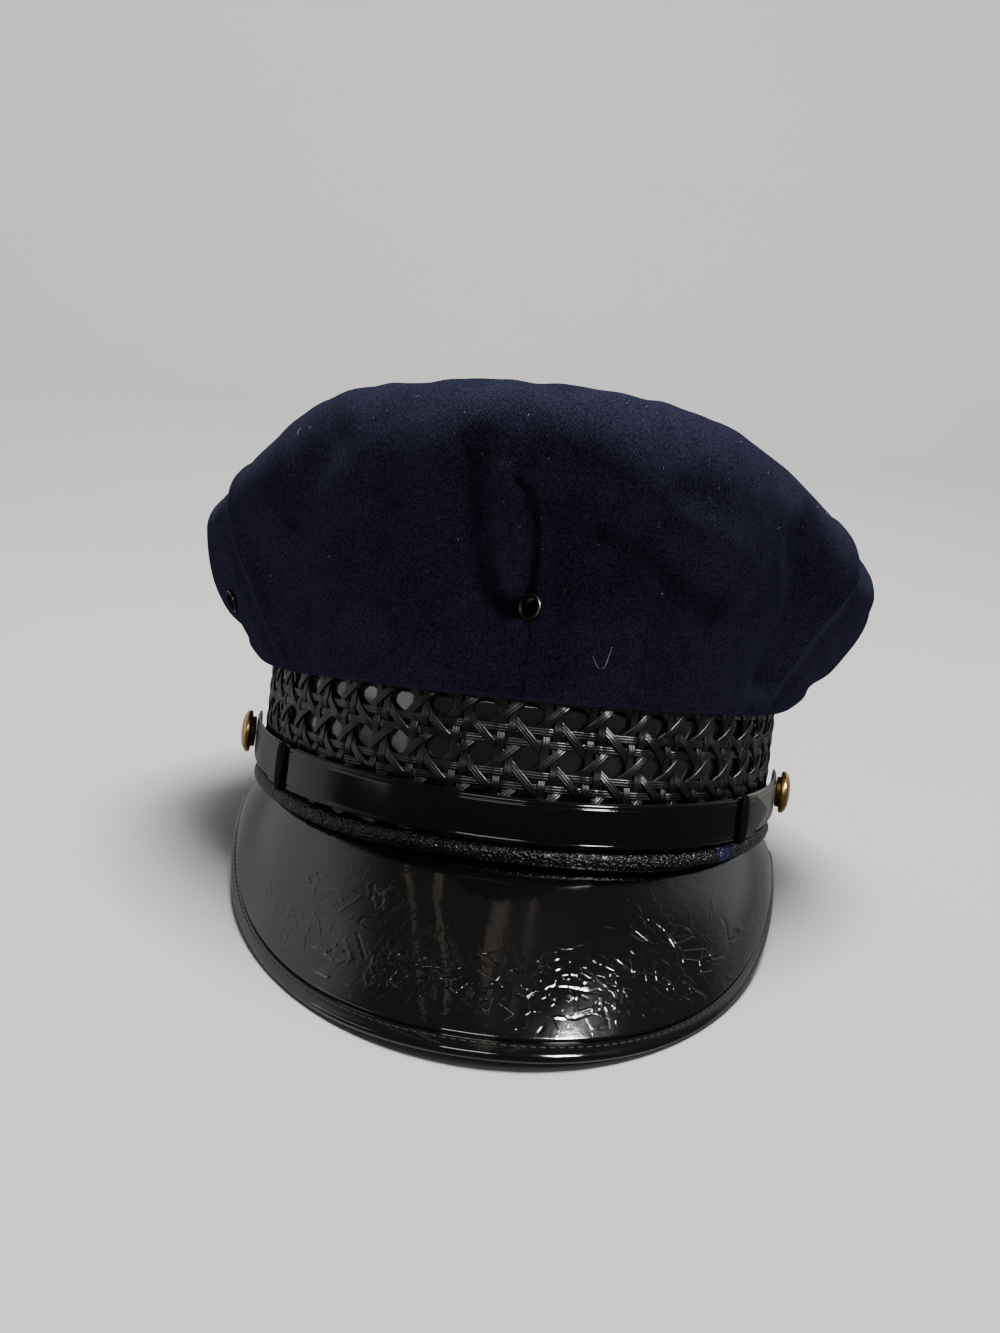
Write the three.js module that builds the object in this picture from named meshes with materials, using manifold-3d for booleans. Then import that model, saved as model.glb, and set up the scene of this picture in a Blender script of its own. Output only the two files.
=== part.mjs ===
// A soft eight-point peaked cap: cloth crown, woven cane band, patent peak and chin strap.
// The cap is worked out upright, with its band level, front towards -Y and wearer's left towards +X.
// It is then tipped back to rest on the edge of its peak and the back of its band.
import * as THREE from 'three';
import { mergeVertices } from 'three/addons/utils/BufferGeometryUtils.js';
import Module from 'manifold-3d';

// Driving dimensions, in millimetres and degrees
const CLEARANCE = 0.35;
const CLOTH = 2.2;

const BAND_HALF_WIDTH = 85.5;
const BAND_HALF_LENGTH = 103;
const BAND_SIDE_RISE = 6;
const RISE_STARTS = 25;
const RISE_ENDS = 85;

const RING_STATIONS = 64;
const WELT_HEIGHT = 5.2;
const WELT_WIDTH = 4;
const CANE_THICKNESS = 2;
const CANE_TOP = 48;
const SWEATBAND_THICKNESS = 1.3;
const SWEATBAND_TOP = 44;
const SWEATBAND_LIFT = 2;

const HEM_HEIGHT = 45.3;
const HEM_TILT = 1.6;
const CROWN_HALF_WIDTH = 114;
const CROWN_FRONT = 118;
const CROWN_BACK = 122;
const CORNER_CRISPNESS = 0.8;
const SEAM_FOOT = 56.3;
const SEAM_LEAN = 17;
const SEAM_CURVE = 5;
const FULLNESS_FRONT = 1.5;
const FULLNESS_SIDE = 2.4;
const TOP_MIDDLE = 98;
const TOP_SLOPE = 0.22;
const TOP_DOME = 5;

const VISOR_ANGLE = 84;
const VISOR_EDGE_ANGLE = 86;
const VISOR_HALF_WIDTH = 90.5;
const VISOR_REACH = 142;
const VISOR_DROP = 43.4;
const VISOR_END_RISE = 45.4;
const VISOR_RISE_POWER = 1.6;
const VISOR_BULGE = 2.5;
const VISOR_BULGE_POWER = 0.6;
const VISOR_TUCK = -1;
const VISOR_THICKNESS = 2.2;
const BINDING_FRONT = 4.6;
const BINDING_SIDE = 5.6;
const BINDING_THICKNESS = 3.4;

const STRAP_WIDTH = 12.5;
const STRAP_HEIGHT = 12.3;
const STRAP_END_RISE = 8.2;
const STRAP_RISE_POWER = 1.9;
const STRAP_THICKNESS = 1.3;
const STRAP_OUTER_ANGLE = 62.5;
const STRAP_POINT_ANGLE = 6.5;
const STRAP_POINT_WIDTH = 1.2;
const STRAP_UNDER_ANGLE = 85;
const STRAP_UNDER_POINT_ANGLE = 0.5;
const KEEPER_ANGLE = 50.3;
const KEEPER_WIDTH = 5;
const KEEPER_BACK = 0.8;
const KEEPER_FRONT = 1.1;

const BUTTON_ANGLE = 81;
const BUTTON_RADIUS = 7;
const BUTTON_HEIGHT = 4.6;
const EYELET_RADIUS = 3.8;
const EYELET_HOLE = 2.6;
const EYELET_BARREL_WALL = 0.4;
const EYELET_FLANGE = 0.6;

const REST_PITCH = 12.6;

// Rows of a table as objects with named columns
function table(columns, rows) {
  return rows.map((row) => Object.fromEntries(columns.map((column, index) => [column, row[index]])));
}

// The crown's edge, in even steps of angle from the front round to the back, alike on both sides
const EDGE_STEP = 22.5;
const EDGE_ROWS = table(['angle', 'reach', 'height'], [
  [0, 1, 128.5],
  [22.5, 1, 127],
  [45, 0.88, 118.2],
  [67.5, 1, 101.5],
  [90, 1, 94],
  [112.5, 1, 88.5],
  [135, 0.94, 84],
  [157.5, 1, 80.5],
  [180, 1, 79],
]);

// Vent eyelets: angle from the front and height above the front of the lower rim
const EYELETS = table(['name', 'panel', 'angle', 'height'], [
  ['eyelet_front', 'crown_front', -0.5, 71],
  ['eyelet_left', 'crown_left', -73, 63],
]);

// Folds of the crown's wall: each runs between two places given by angle and height.
// Depth is how far it sinks inwards, and a negative depth is a ridge.
const FOLD_COLUMNS = ['fold', 'fromAngle', 'fromHeight', 'toAngle', 'toHeight', 'width', 'depth'];
const FOLDS = table(FOLD_COLUMNS, [
  ['pinched crease', -0.6, 101, -0.5, 75, 1.8, 2.6],
  ['crease hook', -3.6, 105, -0.9, 101, 1.8, 1.4],
  ['pinched ridge', -4.1, 103, -3.4, 78, 3.6, -2.2],
  ['broad valley', -8.6, 111, -7.2, 76, 4.5, 3.4],
  ['valley foot', -6.6, 75, -2.2, 70, 4, 2.2],
  ['dent beside the crease', 3.1, 98, 4.1, 80, 8, 2.4],
  ['dimple', 8.5, 99, 9.2, 92, 4, 1.2],
  ['right front valley', 21, 82, 30, 64, 8, 1.6],
  ['right seam valley', 42, 95, 43, 60, 9, 3],
  ['left soft fold', -31, 113, -45, 82, 7, 1.5],
  ['left side sag', -76, 54, -125, 53, 3.4, 2.6],
  ['right side sag', 70, 58, 120, 52, 3.4, 2.2],
  ['left back fold', -128, 78, -136, 56, 7, 1.8],
  ['right back fold', 133, 76, 142, 55, 7, 1.8],
]);
const FOLD_ARC_RADIUS = 108;
const FOLD_FADE = 0.16;

// Finishes
const FINISHES = {
  cloth: { color: 0x14162c, roughness: 0.95, metalness: 0 },
  cane: { color: 0x161518, roughness: 0.4, metalness: 0 },
  sweatband: { color: 0x2a2827, roughness: 0.3, metalness: 0 },
  grained: { color: 0x131313, roughness: 0.5, metalness: 0 },
  patent: { color: 0x08080a, roughness: 0.08, metalness: 0 },
  gold: { color: 0xb98d33, roughness: 0.3, metalness: 1 },
  blackened: { color: 0x24211d, roughness: 0.45, metalness: 0.8 },
};

const { degToRad, lerp, smoothstep, euclideanModulo } = THREE.MathUtils;
const wasm = await Module();
wasm.setup();

// Solids from closed loops of points

// Joins like closed loops in order; open ends are closed by a ladder between the loop's two halves.
function loftGeometry(loops, closedRound = false) {
  const sides = loops[0].length;
  const at = (station, side) => (station % loops.length) * sides + (side % sides);
  const faces = [];
  const spans = closedRound ? loops.length : loops.length - 1;
  for (let station = 0; station < spans; station++) {
    for (let side = 0; side < sides; side++) {
      faces.push([at(station, side), at(station + 1, side), at(station + 1, side + 1)]);
      faces.push([at(station, side), at(station + 1, side + 1), at(station, side + 1)]);
    }
  }
  if (!closedRound) {
    const last = loops.length - 1;
    for (let rung = 0; rung < sides / 2 - 1; rung++) {
      const back = sides - 1 - rung;
      faces.push([at(0, rung), at(0, rung + 1), at(0, back - 1)]);
      faces.push([at(0, rung), at(0, back - 1), at(0, back)]);
      faces.push([at(last, rung), at(last, back - 1), at(last, rung + 1)]);
      faces.push([at(last, rung), at(last, back), at(last, back - 1)]);
    }
  }
  const points = loops.flat();
  const signedVolume = faces.reduce((sum, [a, b, c]) => {
    return sum + points[a].dot(points[b].clone().cross(points[c]));
  }, 0);
  const outward = signedVolume < 0 ? faces.map(([a, b, c]) => [a, c, b]) : faces;
  const geometry = new THREE.BufferGeometry().setFromPoints(points);
  geometry.setIndex(outward.flat());
  return geometry;
}

function toSolid(geometry) {
  const bare = geometry.clone();
  bare.deleteAttribute('normal');
  bare.deleteAttribute('uv');
  const merged = mergeVertices(bare, 1e-3);
  const vertProperties = new Float32Array(merged.attributes.position.array);
  const triVerts = new Uint32Array(merged.index.array);
  return new wasm.Manifold(new wasm.Mesh({ numProp: 3, vertProperties, triVerts }));
}

function cutGeometry(geometry, tools) {
  const solid = tools.reduce((rest, tool) => rest.subtract(toSolid(tool)), toSolid(geometry));
  const { vertProperties, triVerts } = solid.getMesh();
  const result = new THREE.BufferGeometry();
  result.setAttribute('position', new THREE.BufferAttribute(vertProperties, 3));
  result.setIndex(new THREE.BufferAttribute(triVerts, 1));
  return result;
}

// Evenly spaced values from first to last
function spaced(first, last, steps) {
  return Array.from({ length: steps + 1 }, (_, index) => lerp(first, last, index / steps));
}

// The band's oval and lower rim

function ovalNormal(angle) {
  const across = Math.sin(angle) / BAND_HALF_WIDTH;
  const along = -Math.cos(angle) / BAND_HALF_LENGTH;
  return new THREE.Vector3(across, along, 0).normalize();
}

// A point of the band's outer oval at an angle from the front, moved outwards, at a height
function ovalPoint(angle, outwards, height) {
  const across = BAND_HALF_WIDTH * Math.sin(angle);
  const along = -BAND_HALF_LENGTH * Math.cos(angle);
  return new THREE.Vector3(across, along, height).addScaledVector(ovalNormal(angle), outwards);
}

// The lower rim is low at the front and higher from the sides round to the back
function lowerRim(angle) {
  return BAND_SIDE_RISE * smoothstep(Math.abs(angle), degToRad(RISE_STARTS), degToRad(RISE_ENDS));
}

// A ring wall between two outward offsets, from the rim plus a lift up to a level top
function ringWall(outer, inner, lift, top, stations) {
  const loops = spaced(-Math.PI, Math.PI, stations).slice(1).map((angle) => {
    const foot = lowerRim(angle) + lift;
    return [
      ovalPoint(angle, outer, foot),
      ovalPoint(angle, outer, top),
      ovalPoint(angle, inner, top),
      ovalPoint(angle, inner, foot),
    ];
  });
  return loftGeometry(loops, true);
}

// The roll round the lower edge, an upright oval in section
function weltGeometry(stations = RING_STATIONS, sides = 8) {
  const loops = spaced(-Math.PI, Math.PI, stations).slice(1).map((angle) => {
    const middle = lowerRim(angle) + WELT_HEIGHT / 2;
    return spaced(0, 2 * Math.PI, sides).slice(1).map((turn) => {
      const outwards = (WELT_WIDTH / 2) * Math.cos(turn);
      return ovalPoint(angle, outwards, middle + (WELT_HEIGHT / 2) * Math.sin(turn));
    });
  });
  return loftGeometry(loops, true);
}

// The crown

// A column of the edge's table at an angle, smoothly through its rows
function edgeColumn(column, angle) {
  const place = Math.abs(angle) / degToRad(EDGE_STEP);
  const last = EDGE_ROWS.length - 1;
  const row = Math.min(Math.floor(place), last - 1);
  const mirrored = (index) => EDGE_ROWS[last - Math.abs(last - Math.abs(index))][column];
  const [before, from, to, after] = [row - 1, row, row + 1, row + 2].map(mirrored);
  const share = place - row;
  const bend = 2 * before - 5 * from + 4 * to - after;
  const twist = -before + 3 * from - 3 * to + after;
  return from + (share / 2) * (to - before + share * (bend + share * twist));
}

// One at the eight points, less between them
function octagonReach(angle) {
  const eighth = Math.PI / 4;
  const fromMiddle = euclideanModulo(angle, eighth) - eighth / 2;
  return Math.pow(Math.cos(eighth / 2) / Math.cos(fromMiddle), CORNER_CRISPNESS);
}

function crownEdge(angle) {
  const reach = octagonReach(angle) * edgeColumn('reach', angle);
  const halfLength = Math.cos(angle) > 0 ? CROWN_FRONT : CROWN_BACK;
  const x = CROWN_HALF_WIDTH * reach * Math.sin(angle);
  const y = -halfLength * reach * Math.cos(angle);
  return new THREE.Vector3(x, y, edgeColumn('height', angle));
}

// The top's height: a slope down to the back and a low dome, drawn to the edge's height at its rim
function topHeight(angle, reach) {
  const edge = crownEdge(angle);
  const slopeAt = (y) => TOP_MIDDLE - TOP_SLOPE * y;
  const rimPull = (edge.z - slopeAt(edge.y)) * reach ** 3;
  return slopeAt(edge.y * reach) + rimPull + TOP_DOME * (1 - reach ** 2);
}

// How far all the folds together push the wall in at a place: a bell curve across each fold's line
function foldDepth(angle, height) {
  const place = new THREE.Vector3(angle * FOLD_ARC_RADIUS, height, 0);
  return FOLDS.reduce((sum, row) => {
    const from = new THREE.Vector3(degToRad(row.fromAngle) * FOLD_ARC_RADIUS, row.fromHeight, 0);
    const to = new THREE.Vector3(degToRad(row.toAngle) * FOLD_ARC_RADIUS, row.toHeight, 0);
    const nearest = new THREE.Line3(from, to).closestPointToPoint(place, true, new THREE.Vector3());
    return sum + row.depth * Math.exp(-((nearest.distanceTo(place) / row.width) ** 2));
  }, 0);
}

// The hem sits a little higher on the wearer's left
function hemHeight(angle) {
  return HEM_HEIGHT + HEM_TILT * Math.sin(angle);
}

// The crown's wall: rise goes from 0 at the hem to 1 at the edge, and inset goes inwards.
// The inner face falls with the top's slope, so that the top lies along both faces.
function crownWall(angle, rise, inset) {
  const hem = ovalPoint(angle, CLEARANCE + CLOTH, hemHeight(angle));
  const edge = crownEdge(angle);
  const fullness = lerp(FULLNESS_FRONT, FULLNESS_SIDE, Math.sin(angle) ** 2);
  const height = lerp(hem.z, edge.z, rise);
  const fade = smoothstep(rise, 0, FOLD_FADE) * (1 - smoothstep(rise, 1 - FOLD_FADE, 1));
  const normal = ovalNormal(angle);
  const insetReach = 1 - inset / edge.length();
  const edgeFall = Math.max(0, edge.z - topHeight(angle, insetReach));
  const point = hem.lerp(edge, 1 - Math.pow(1 - rise, fullness)).setZ(height - rise * edgeFall);
  return point.addScaledVector(normal, -fade * foldDepth(angle, height) - inset);
}

function crownRise(angle, height) {
  return (height - hemHeight(angle)) / (crownEdge(angle).z - hemHeight(angle));
}

// The side seams lean from the front of the hem up to the side points
function sideSeam(rise) {
  return degToRad(SEAM_FOOT + SEAM_LEAN * rise - SEAM_CURVE * rise * rise);
}

// A cloth panel of the wall between two seams, each an angle that changes with the rise
function crownPanel(fromSeam, toSeam, fractions, rows) {
  const halfGap = CLEARANCE / 2 / BAND_HALF_WIDTH;
  const rises = spaced(0, 1, rows);
  const loops = fractions.map((fraction) => {
    const wallAt = (rise, inset) => {
      const angle = lerp(fromSeam(rise) + halfGap, toSeam(rise) - halfGap, fraction);
      return crownWall(angle, rise, inset);
    };
    const outer = rises.map((rise) => wallAt(rise, 0));
    const inner = rises.map((rise) => wallAt(rise, CLOTH)).reverse();
    return [...outer, ...inner];
  });
  return loftGeometry(loops);
}

// Columns drawn together towards the middle, where the pinched crease is
function gatheredFractions(columns) {
  return spaced(-1, 1, columns).map((place) => (1 + Math.sign(place) * Math.abs(place) ** 1.6) / 2);
}

// The eight-pointed top, a domed lid over the walls: rings out along its underside and back on top
function crownTopGeometry(stations = 48) {
  const rings = [
    { reach: 0.3, lift: 0 },
    { reach: 0.65, lift: 0 },
    { reach: 1, lift: 0 },
    { reach: 1.01, lift: CLOTH * 0.4 },
    { reach: 1, lift: CLOTH * 0.8 },
    { reach: 0.97, lift: CLOTH },
    { reach: 0.8, lift: CLOTH },
    { reach: 0.55, lift: CLOTH },
    { reach: 0.3, lift: CLOTH },
  ];
  const loops = rings.map(({ reach, lift }) => {
    return spaced(-Math.PI, Math.PI, stations).slice(1).map((angle) => {
      const point = crownEdge(angle).multiplyScalar(reach);
      return point.setZ(topHeight(angle, Math.min(reach, 1)) + CLEARANCE + lift);
    });
  });
  return loftGeometry(loops);
}

// The peak

function visorRoot(angle) {
  return ovalPoint(angle, VISOR_TUCK, lowerRim(angle) - CLEARANCE);
}

// The peak's edge: an oval in plan that is level in front and climbs towards its ends
function visorEdge(angle) {
  const spread = (angle * VISOR_EDGE_ANGLE) / VISOR_ANGLE;
  const climb = VISOR_END_RISE * Math.pow(1 - Math.cos(spread), VISOR_RISE_POWER);
  const x = VISOR_HALF_WIDTH * Math.sin(spread);
  return new THREE.Vector3(x, -VISOR_REACH * Math.cos(spread), climb - VISOR_DROP);
}

// The directions at the edge: down the slope, along the edge, and out of the upper face
function visorDirections(angle) {
  const step = 1e-3;
  const slope = visorEdge(angle).sub(visorRoot(angle)).normalize();
  const along = visorEdge(angle + step).sub(visorEdge(angle - step)).normalize();
  const upper = slope.clone().cross(along).normalize();
  return { slope, along, upper };
}

function bindingWidth(angle) {
  return lerp(BINDING_SIDE, BINDING_FRONT, Math.cos(angle) ** 2);
}

function visorAngles(stations) {
  return spaced(-degToRad(VISOR_ANGLE), degToRad(VISOR_ANGLE), stations);
}

// The peak's sheet, bulged most in front, where it is longest
function visorGeometry(stations = 40, rows = 6) {
  const longest = visorRoot(0).distanceTo(visorEdge(0));
  const loops = visorAngles(stations).map((angle) => {
    const { slope, upper } = visorDirections(angle);
    const root = visorRoot(angle);
    const length = root.distanceTo(visorEdge(angle));
    const sheetLength = length - bindingWidth(angle) - CLEARANCE;
    const fullBulge = VISOR_BULGE * Math.pow(length / longest, VISOR_BULGE_POWER);
    const faceAt = (down, depth) => {
      const bulge = fullBulge * Math.sin((Math.PI * down) / length);
      return root.clone().addScaledVector(slope, down).addScaledVector(upper, bulge - depth);
    };
    const distances = spaced(0, sheetLength, rows);
    const upperFace = distances.map((down) => faceAt(down, 0));
    const lowerFace = distances.map((down) => faceAt(down, VISOR_THICKNESS)).reverse();
    return [...upperFace, ...lowerFace];
  });
  return loftGeometry(loops);
}

// The rolled binding, a flat oval in section whose far side is the peak's edge
function bindingGeometry(stations = 44, sides = 8) {
  const loops = visorAngles(stations).map((angle) => {
    const { slope, upper } = visorDirections(angle);
    const halfWidth = bindingWidth(angle) / 2;
    const middle = visorEdge(angle).addScaledVector(slope, -halfWidth);
    middle.addScaledVector(upper, -VISOR_THICKNESS / 2);
    return spaced(0, 2 * Math.PI, sides).slice(1).map((turn) => {
      const point = middle.clone().addScaledVector(slope, halfWidth * Math.cos(turn));
      return point.addScaledVector(upper, (BINDING_THICKNESS / 2) * Math.sin(turn));
    });
  });
  return loftGeometry(loops);
}

// The chin strap

const underInner = 2 * CLEARANCE + KEEPER_BACK;
const underOuter = underInner + STRAP_THICKNESS;
const outerInner = underOuter + CLEARANCE;
const outerOuter = outerInner + STRAP_THICKNESS;

function strapMiddle(angle) {
  const share = Math.abs(angle) / degToRad(BUTTON_ANGLE);
  return STRAP_HEIGHT + STRAP_END_RISE * Math.pow(share, STRAP_RISE_POWER);
}

// A strap length to both sides of the front, drawn to points over the last few degrees of its ends
function strapGeometry(inner, outer, endAngle, pointAngle, stations = 48) {
  const bodyAngle = endAngle - pointAngle;
  const angles = [-endAngle, ...spaced(-bodyAngle, bodyAngle, stations), endAngle];
  const loops = angles.map((degrees) => {
    const angle = degToRad(degrees);
    const width = Math.abs(degrees) > bodyAngle ? STRAP_POINT_WIDTH : STRAP_WIDTH;
    const low = strapMiddle(angle) - width / 2;
    const high = strapMiddle(angle) + width / 2;
    return [
      ovalPoint(angle, outer, low),
      ovalPoint(angle, outer, high),
      ovalPoint(angle, inner, high),
      ovalPoint(angle, inner, low),
    ];
  });
  return loftGeometry(loops);
}

// A keeper: a flat loop carried round both strap lengths on a path with rounded corners
function keeperGeometry(degrees, turns = 24) {
  const angle = degToRad(degrees);
  const halfHeight = STRAP_WIDTH / 2 + CLEARANCE;
  const tangent = new THREE.Vector3(0, 0, 1).cross(ovalNormal(angle));
  const loops = spaced(0, 2 * Math.PI, turns).slice(1).map((turn) => {
    const squareUp = (value) => Math.sign(value) * Math.abs(value) ** 0.25;
    const across = squareUp(Math.cos(turn));
    const along = squareUp(Math.sin(turn));
    const corner = (side, wallBack, wallFront, wallSide) => {
      const near = underInner - CLEARANCE - wallBack;
      const far = outerOuter + CLEARANCE + wallFront;
      const outwards = lerp(near, far, (across + 1) / 2);
      const height = strapMiddle(angle) + along * (halfHeight + wallSide);
      return ovalPoint(angle, outwards, height).addScaledVector(tangent, (side * KEEPER_WIDTH) / 2);
    };
    return [
      corner(-1, KEEPER_BACK, KEEPER_FRONT, KEEPER_BACK),
      corner(1, KEEPER_BACK, KEEPER_FRONT, KEEPER_BACK),
      corner(1, 0, 0, 0),
      corner(-1, 0, 0, 0),
    ];
  });
  return loftGeometry(loops, true);
}

// Small metal pieces, turned about their own axis, which is Y before they are placed

function buttonGeometry() {
  const base = BUTTON_HEIGHT * 0.25;
  const rim = BUTTON_HEIGHT * 0.5;
  const dome = new THREE.QuadraticBezierCurve(
    new THREE.Vector2(BUTTON_RADIUS * 0.93, BUTTON_HEIGHT * 0.58),
    new THREE.Vector2(BUTTON_RADIUS * 0.55, BUTTON_HEIGHT),
    new THREE.Vector2(0, BUTTON_HEIGHT),
  );
  const profile = [
    new THREE.Vector2(0, 0),
    new THREE.Vector2(BUTTON_RADIUS * 0.6, 0),
    new THREE.Vector2(BUTTON_RADIUS * 0.6, base),
    new THREE.Vector2(BUTTON_RADIUS * 0.94, base),
    new THREE.Vector2(BUTTON_RADIUS, base * 1.3),
    new THREE.Vector2(BUTTON_RADIUS, rim),
    ...dome.getPoints(5),
  ];
  return new THREE.LatheGeometry(profile, 24);
}

function eyeletGeometry() {
  const barrel = EYELET_HOLE + EYELET_BARREL_WALL;
  const top = CLEARANCE + EYELET_FLANGE;
  const foot = -CLOTH - EYELET_FLANGE;
  const middle = (EYELET_RADIUS + EYELET_HOLE) / 2;
  const profile = [
    new THREE.Vector2(EYELET_HOLE, foot),
    new THREE.Vector2(barrel, foot),
    new THREE.Vector2(barrel, CLEARANCE),
    new THREE.Vector2(EYELET_RADIUS, CLEARANCE),
    new THREE.Vector2(EYELET_RADIUS, top - EYELET_FLANGE / 2),
    new THREE.Vector2(middle, top),
    new THREE.Vector2(EYELET_HOLE, top - EYELET_FLANGE / 2),
    new THREE.Vector2(EYELET_HOLE, foot),
  ];
  return new THREE.LatheGeometry(profile, 24);
}

// Where an eyelet sits on the crown's wall, and the way it faces
function eyeletSeat({ angle: degrees, height }) {
  const angle = degToRad(degrees);
  const rise = crownRise(angle, height);
  const point = crownWall(angle, rise, 0);
  const step = 0.02;
  const around = crownWall(angle + step, rise, 0).sub(crownWall(angle - step, rise, 0));
  const upwards = crownWall(angle, rise + step, 0).sub(crownWall(angle, rise - step, 0));
  return { point, facing: around.cross(upwards).normalize() };
}

function facingTurn(facing) {
  return new THREE.Quaternion().setFromUnitVectors(new THREE.Vector3(0, 1, 0), facing);
}

// The hole for an eyelet's barrel, and the flat that its flange sits on
function eyeletCuts(eyelet) {
  const { point, facing } = eyeletSeat(eyelet);
  const depth = 4 * CLOTH;
  const holeRadius = EYELET_HOLE + EYELET_BARREL_WALL + CLEARANCE;
  const hole = new THREE.CylinderGeometry(holeRadius, holeRadius, 2 * depth, 24);
  const flatRadius = EYELET_RADIUS + CLEARANCE;
  const flat = new THREE.CylinderGeometry(flatRadius, flatRadius, depth, 24).translate(0, depth / 2, 0);
  return [hole, flat].map((tool) => {
    return tool.applyQuaternion(facingTurn(facing)).translate(point.x, point.y, point.z);
  });
}

// Assembly

const cap = new THREE.Group();

function addMesh(name, geometry, finish) {
  const mesh = new THREE.Mesh(geometry, new THREE.MeshStandardMaterial(FINISHES[finish]));
  mesh.name = name;
  cap.add(mesh);
  return mesh;
}

function cutForEyelets(panel, geometry) {
  const tools = EYELETS.filter((eyelet) => eyelet.panel === panel).flatMap(eyeletCuts);
  return cutGeometry(geometry, tools);
}

const leftSeam = (rise) => -sideSeam(rise);
const rightSeam = (rise) => sideSeam(rise);
const frontPanel = crownPanel(leftSeam, rightSeam, gatheredFractions(32), 14);
const leftPanel = crownPanel(() => -Math.PI, leftSeam, spaced(0, 1, 24), 11);
const rightPanel = crownPanel(rightSeam, () => Math.PI, spaced(0, 1, 24), 11);
addMesh('crown_front', cutForEyelets('crown_front', frontPanel), 'cloth');
addMesh('crown_left', cutForEyelets('crown_left', leftPanel), 'cloth');
addMesh('crown_right', cutForEyelets('crown_right', rightPanel), 'cloth');
addMesh('crown_top', crownTopGeometry(), 'cloth');

const sweatbandOuter = -CANE_THICKNESS - CLEARANCE;
const sweatbandInner = sweatbandOuter - SWEATBAND_THICKNESS;
const caneBand = ringWall(0, -CANE_THICKNESS, WELT_HEIGHT + CLEARANCE, CANE_TOP, RING_STATIONS);
addMesh('cane_band', caneBand, 'cane');
const sweatband = ringWall(sweatbandOuter, sweatbandInner, SWEATBAND_LIFT, SWEATBAND_TOP, RING_STATIONS);
addMesh('sweatband', sweatband, 'sweatband');

addMesh('visor', visorGeometry(), 'patent');
const binding = addMesh('visor_binding', bindingGeometry(), 'patent');
const strapOuter = strapGeometry(outerInner, outerOuter, STRAP_OUTER_ANGLE, STRAP_POINT_ANGLE);
const strapUnder = strapGeometry(underInner, underOuter, STRAP_UNDER_ANGLE, STRAP_UNDER_POINT_ANGLE);
addMesh('strap_outer', strapOuter, 'patent');
addMesh('strap_under', strapUnder, 'patent');
addMesh('keeper_left', keeperGeometry(-KEEPER_ANGLE), 'grained');
addMesh('keeper_right', keeperGeometry(KEEPER_ANGLE), 'grained');

for (const [name, degrees] of [['button_left', -BUTTON_ANGLE], ['button_right', BUTTON_ANGLE]]) {
  const angle = degToRad(degrees);
  const button = addMesh(name, buttonGeometry(), 'gold');
  button.position.copy(ovalPoint(angle, underOuter + CLEARANCE, strapMiddle(angle)));
  button.quaternion.copy(facingTurn(ovalNormal(angle)));
}

for (const eyelet of EYELETS) {
  const { point, facing } = eyeletSeat(eyelet);
  const ring = addMesh(eyelet.name, eyeletGeometry(), 'blackened');
  ring.position.copy(point);
  ring.quaternion.copy(facingTurn(facing));
}

// Resting pose: tipped back until the peak's edge meets the floor, with the box centred over the origin
cap.rotation.x = -degToRad(REST_PITCH);
const tipped = new THREE.Box3().setFromObject(cap, true);
cap.position.y = -tipped.getCenter(new THREE.Vector3()).y;
cap.position.z = -new THREE.Box3().setFromObject(binding, true).min.z;
cap.updateMatrixWorld(true);

// The soft roll is pressed flat where the back of the band rests on the floor
const blockSize = 3 * CROWN_FRONT;
const floorBlock = new THREE.BoxGeometry(blockSize, blockSize, blockSize).translate(0, 0, -blockSize / 2);
floorBlock.applyMatrix4(cap.matrixWorld.clone().invert());
addMesh('welt', cutGeometry(weltGeometry(), [floorBlock]), 'grained');

export default cap;
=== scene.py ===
"""Peaked cap: the looks of a soft eight-point cap, built round its packed solid model.

Each piece is a numpy surface in the cap's own upright frame, in millimetres: the band is level, the
front is -Y and the wearer's left is +X. to_rest() then tips it back into the model's resting pose.
"""
import math

import bpy
import numpy as np
from bpy.props import FloatProperty, FloatVectorProperty, IntProperty, PointerProperty
from mathutils import Matrix, Vector


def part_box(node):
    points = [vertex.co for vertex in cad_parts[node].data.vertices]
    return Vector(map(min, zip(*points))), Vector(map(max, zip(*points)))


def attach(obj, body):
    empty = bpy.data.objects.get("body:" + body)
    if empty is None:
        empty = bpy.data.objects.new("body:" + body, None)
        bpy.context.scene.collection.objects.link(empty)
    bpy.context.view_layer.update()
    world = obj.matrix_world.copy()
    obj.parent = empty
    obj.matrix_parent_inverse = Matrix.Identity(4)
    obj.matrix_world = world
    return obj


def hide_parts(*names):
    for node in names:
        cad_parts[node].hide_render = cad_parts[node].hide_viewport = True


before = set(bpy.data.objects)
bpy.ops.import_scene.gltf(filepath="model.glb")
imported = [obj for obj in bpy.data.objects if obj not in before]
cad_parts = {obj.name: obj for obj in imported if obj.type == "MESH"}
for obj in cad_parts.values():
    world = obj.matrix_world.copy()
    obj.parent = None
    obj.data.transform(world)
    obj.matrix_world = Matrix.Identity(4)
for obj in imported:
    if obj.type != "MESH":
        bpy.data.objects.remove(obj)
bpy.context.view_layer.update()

bl_info = {
    "name": "Peaked cap",
    "version": (1, 0, 0),
    "blender": (4, 5, 0),
    "location": "3D View > Sidebar > Peaked cap",
    "description": "Builds a navy cloth cap with a cane band, a patent peak and a chin strap",
    "category": "Object",
}

MM = 0.001

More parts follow.
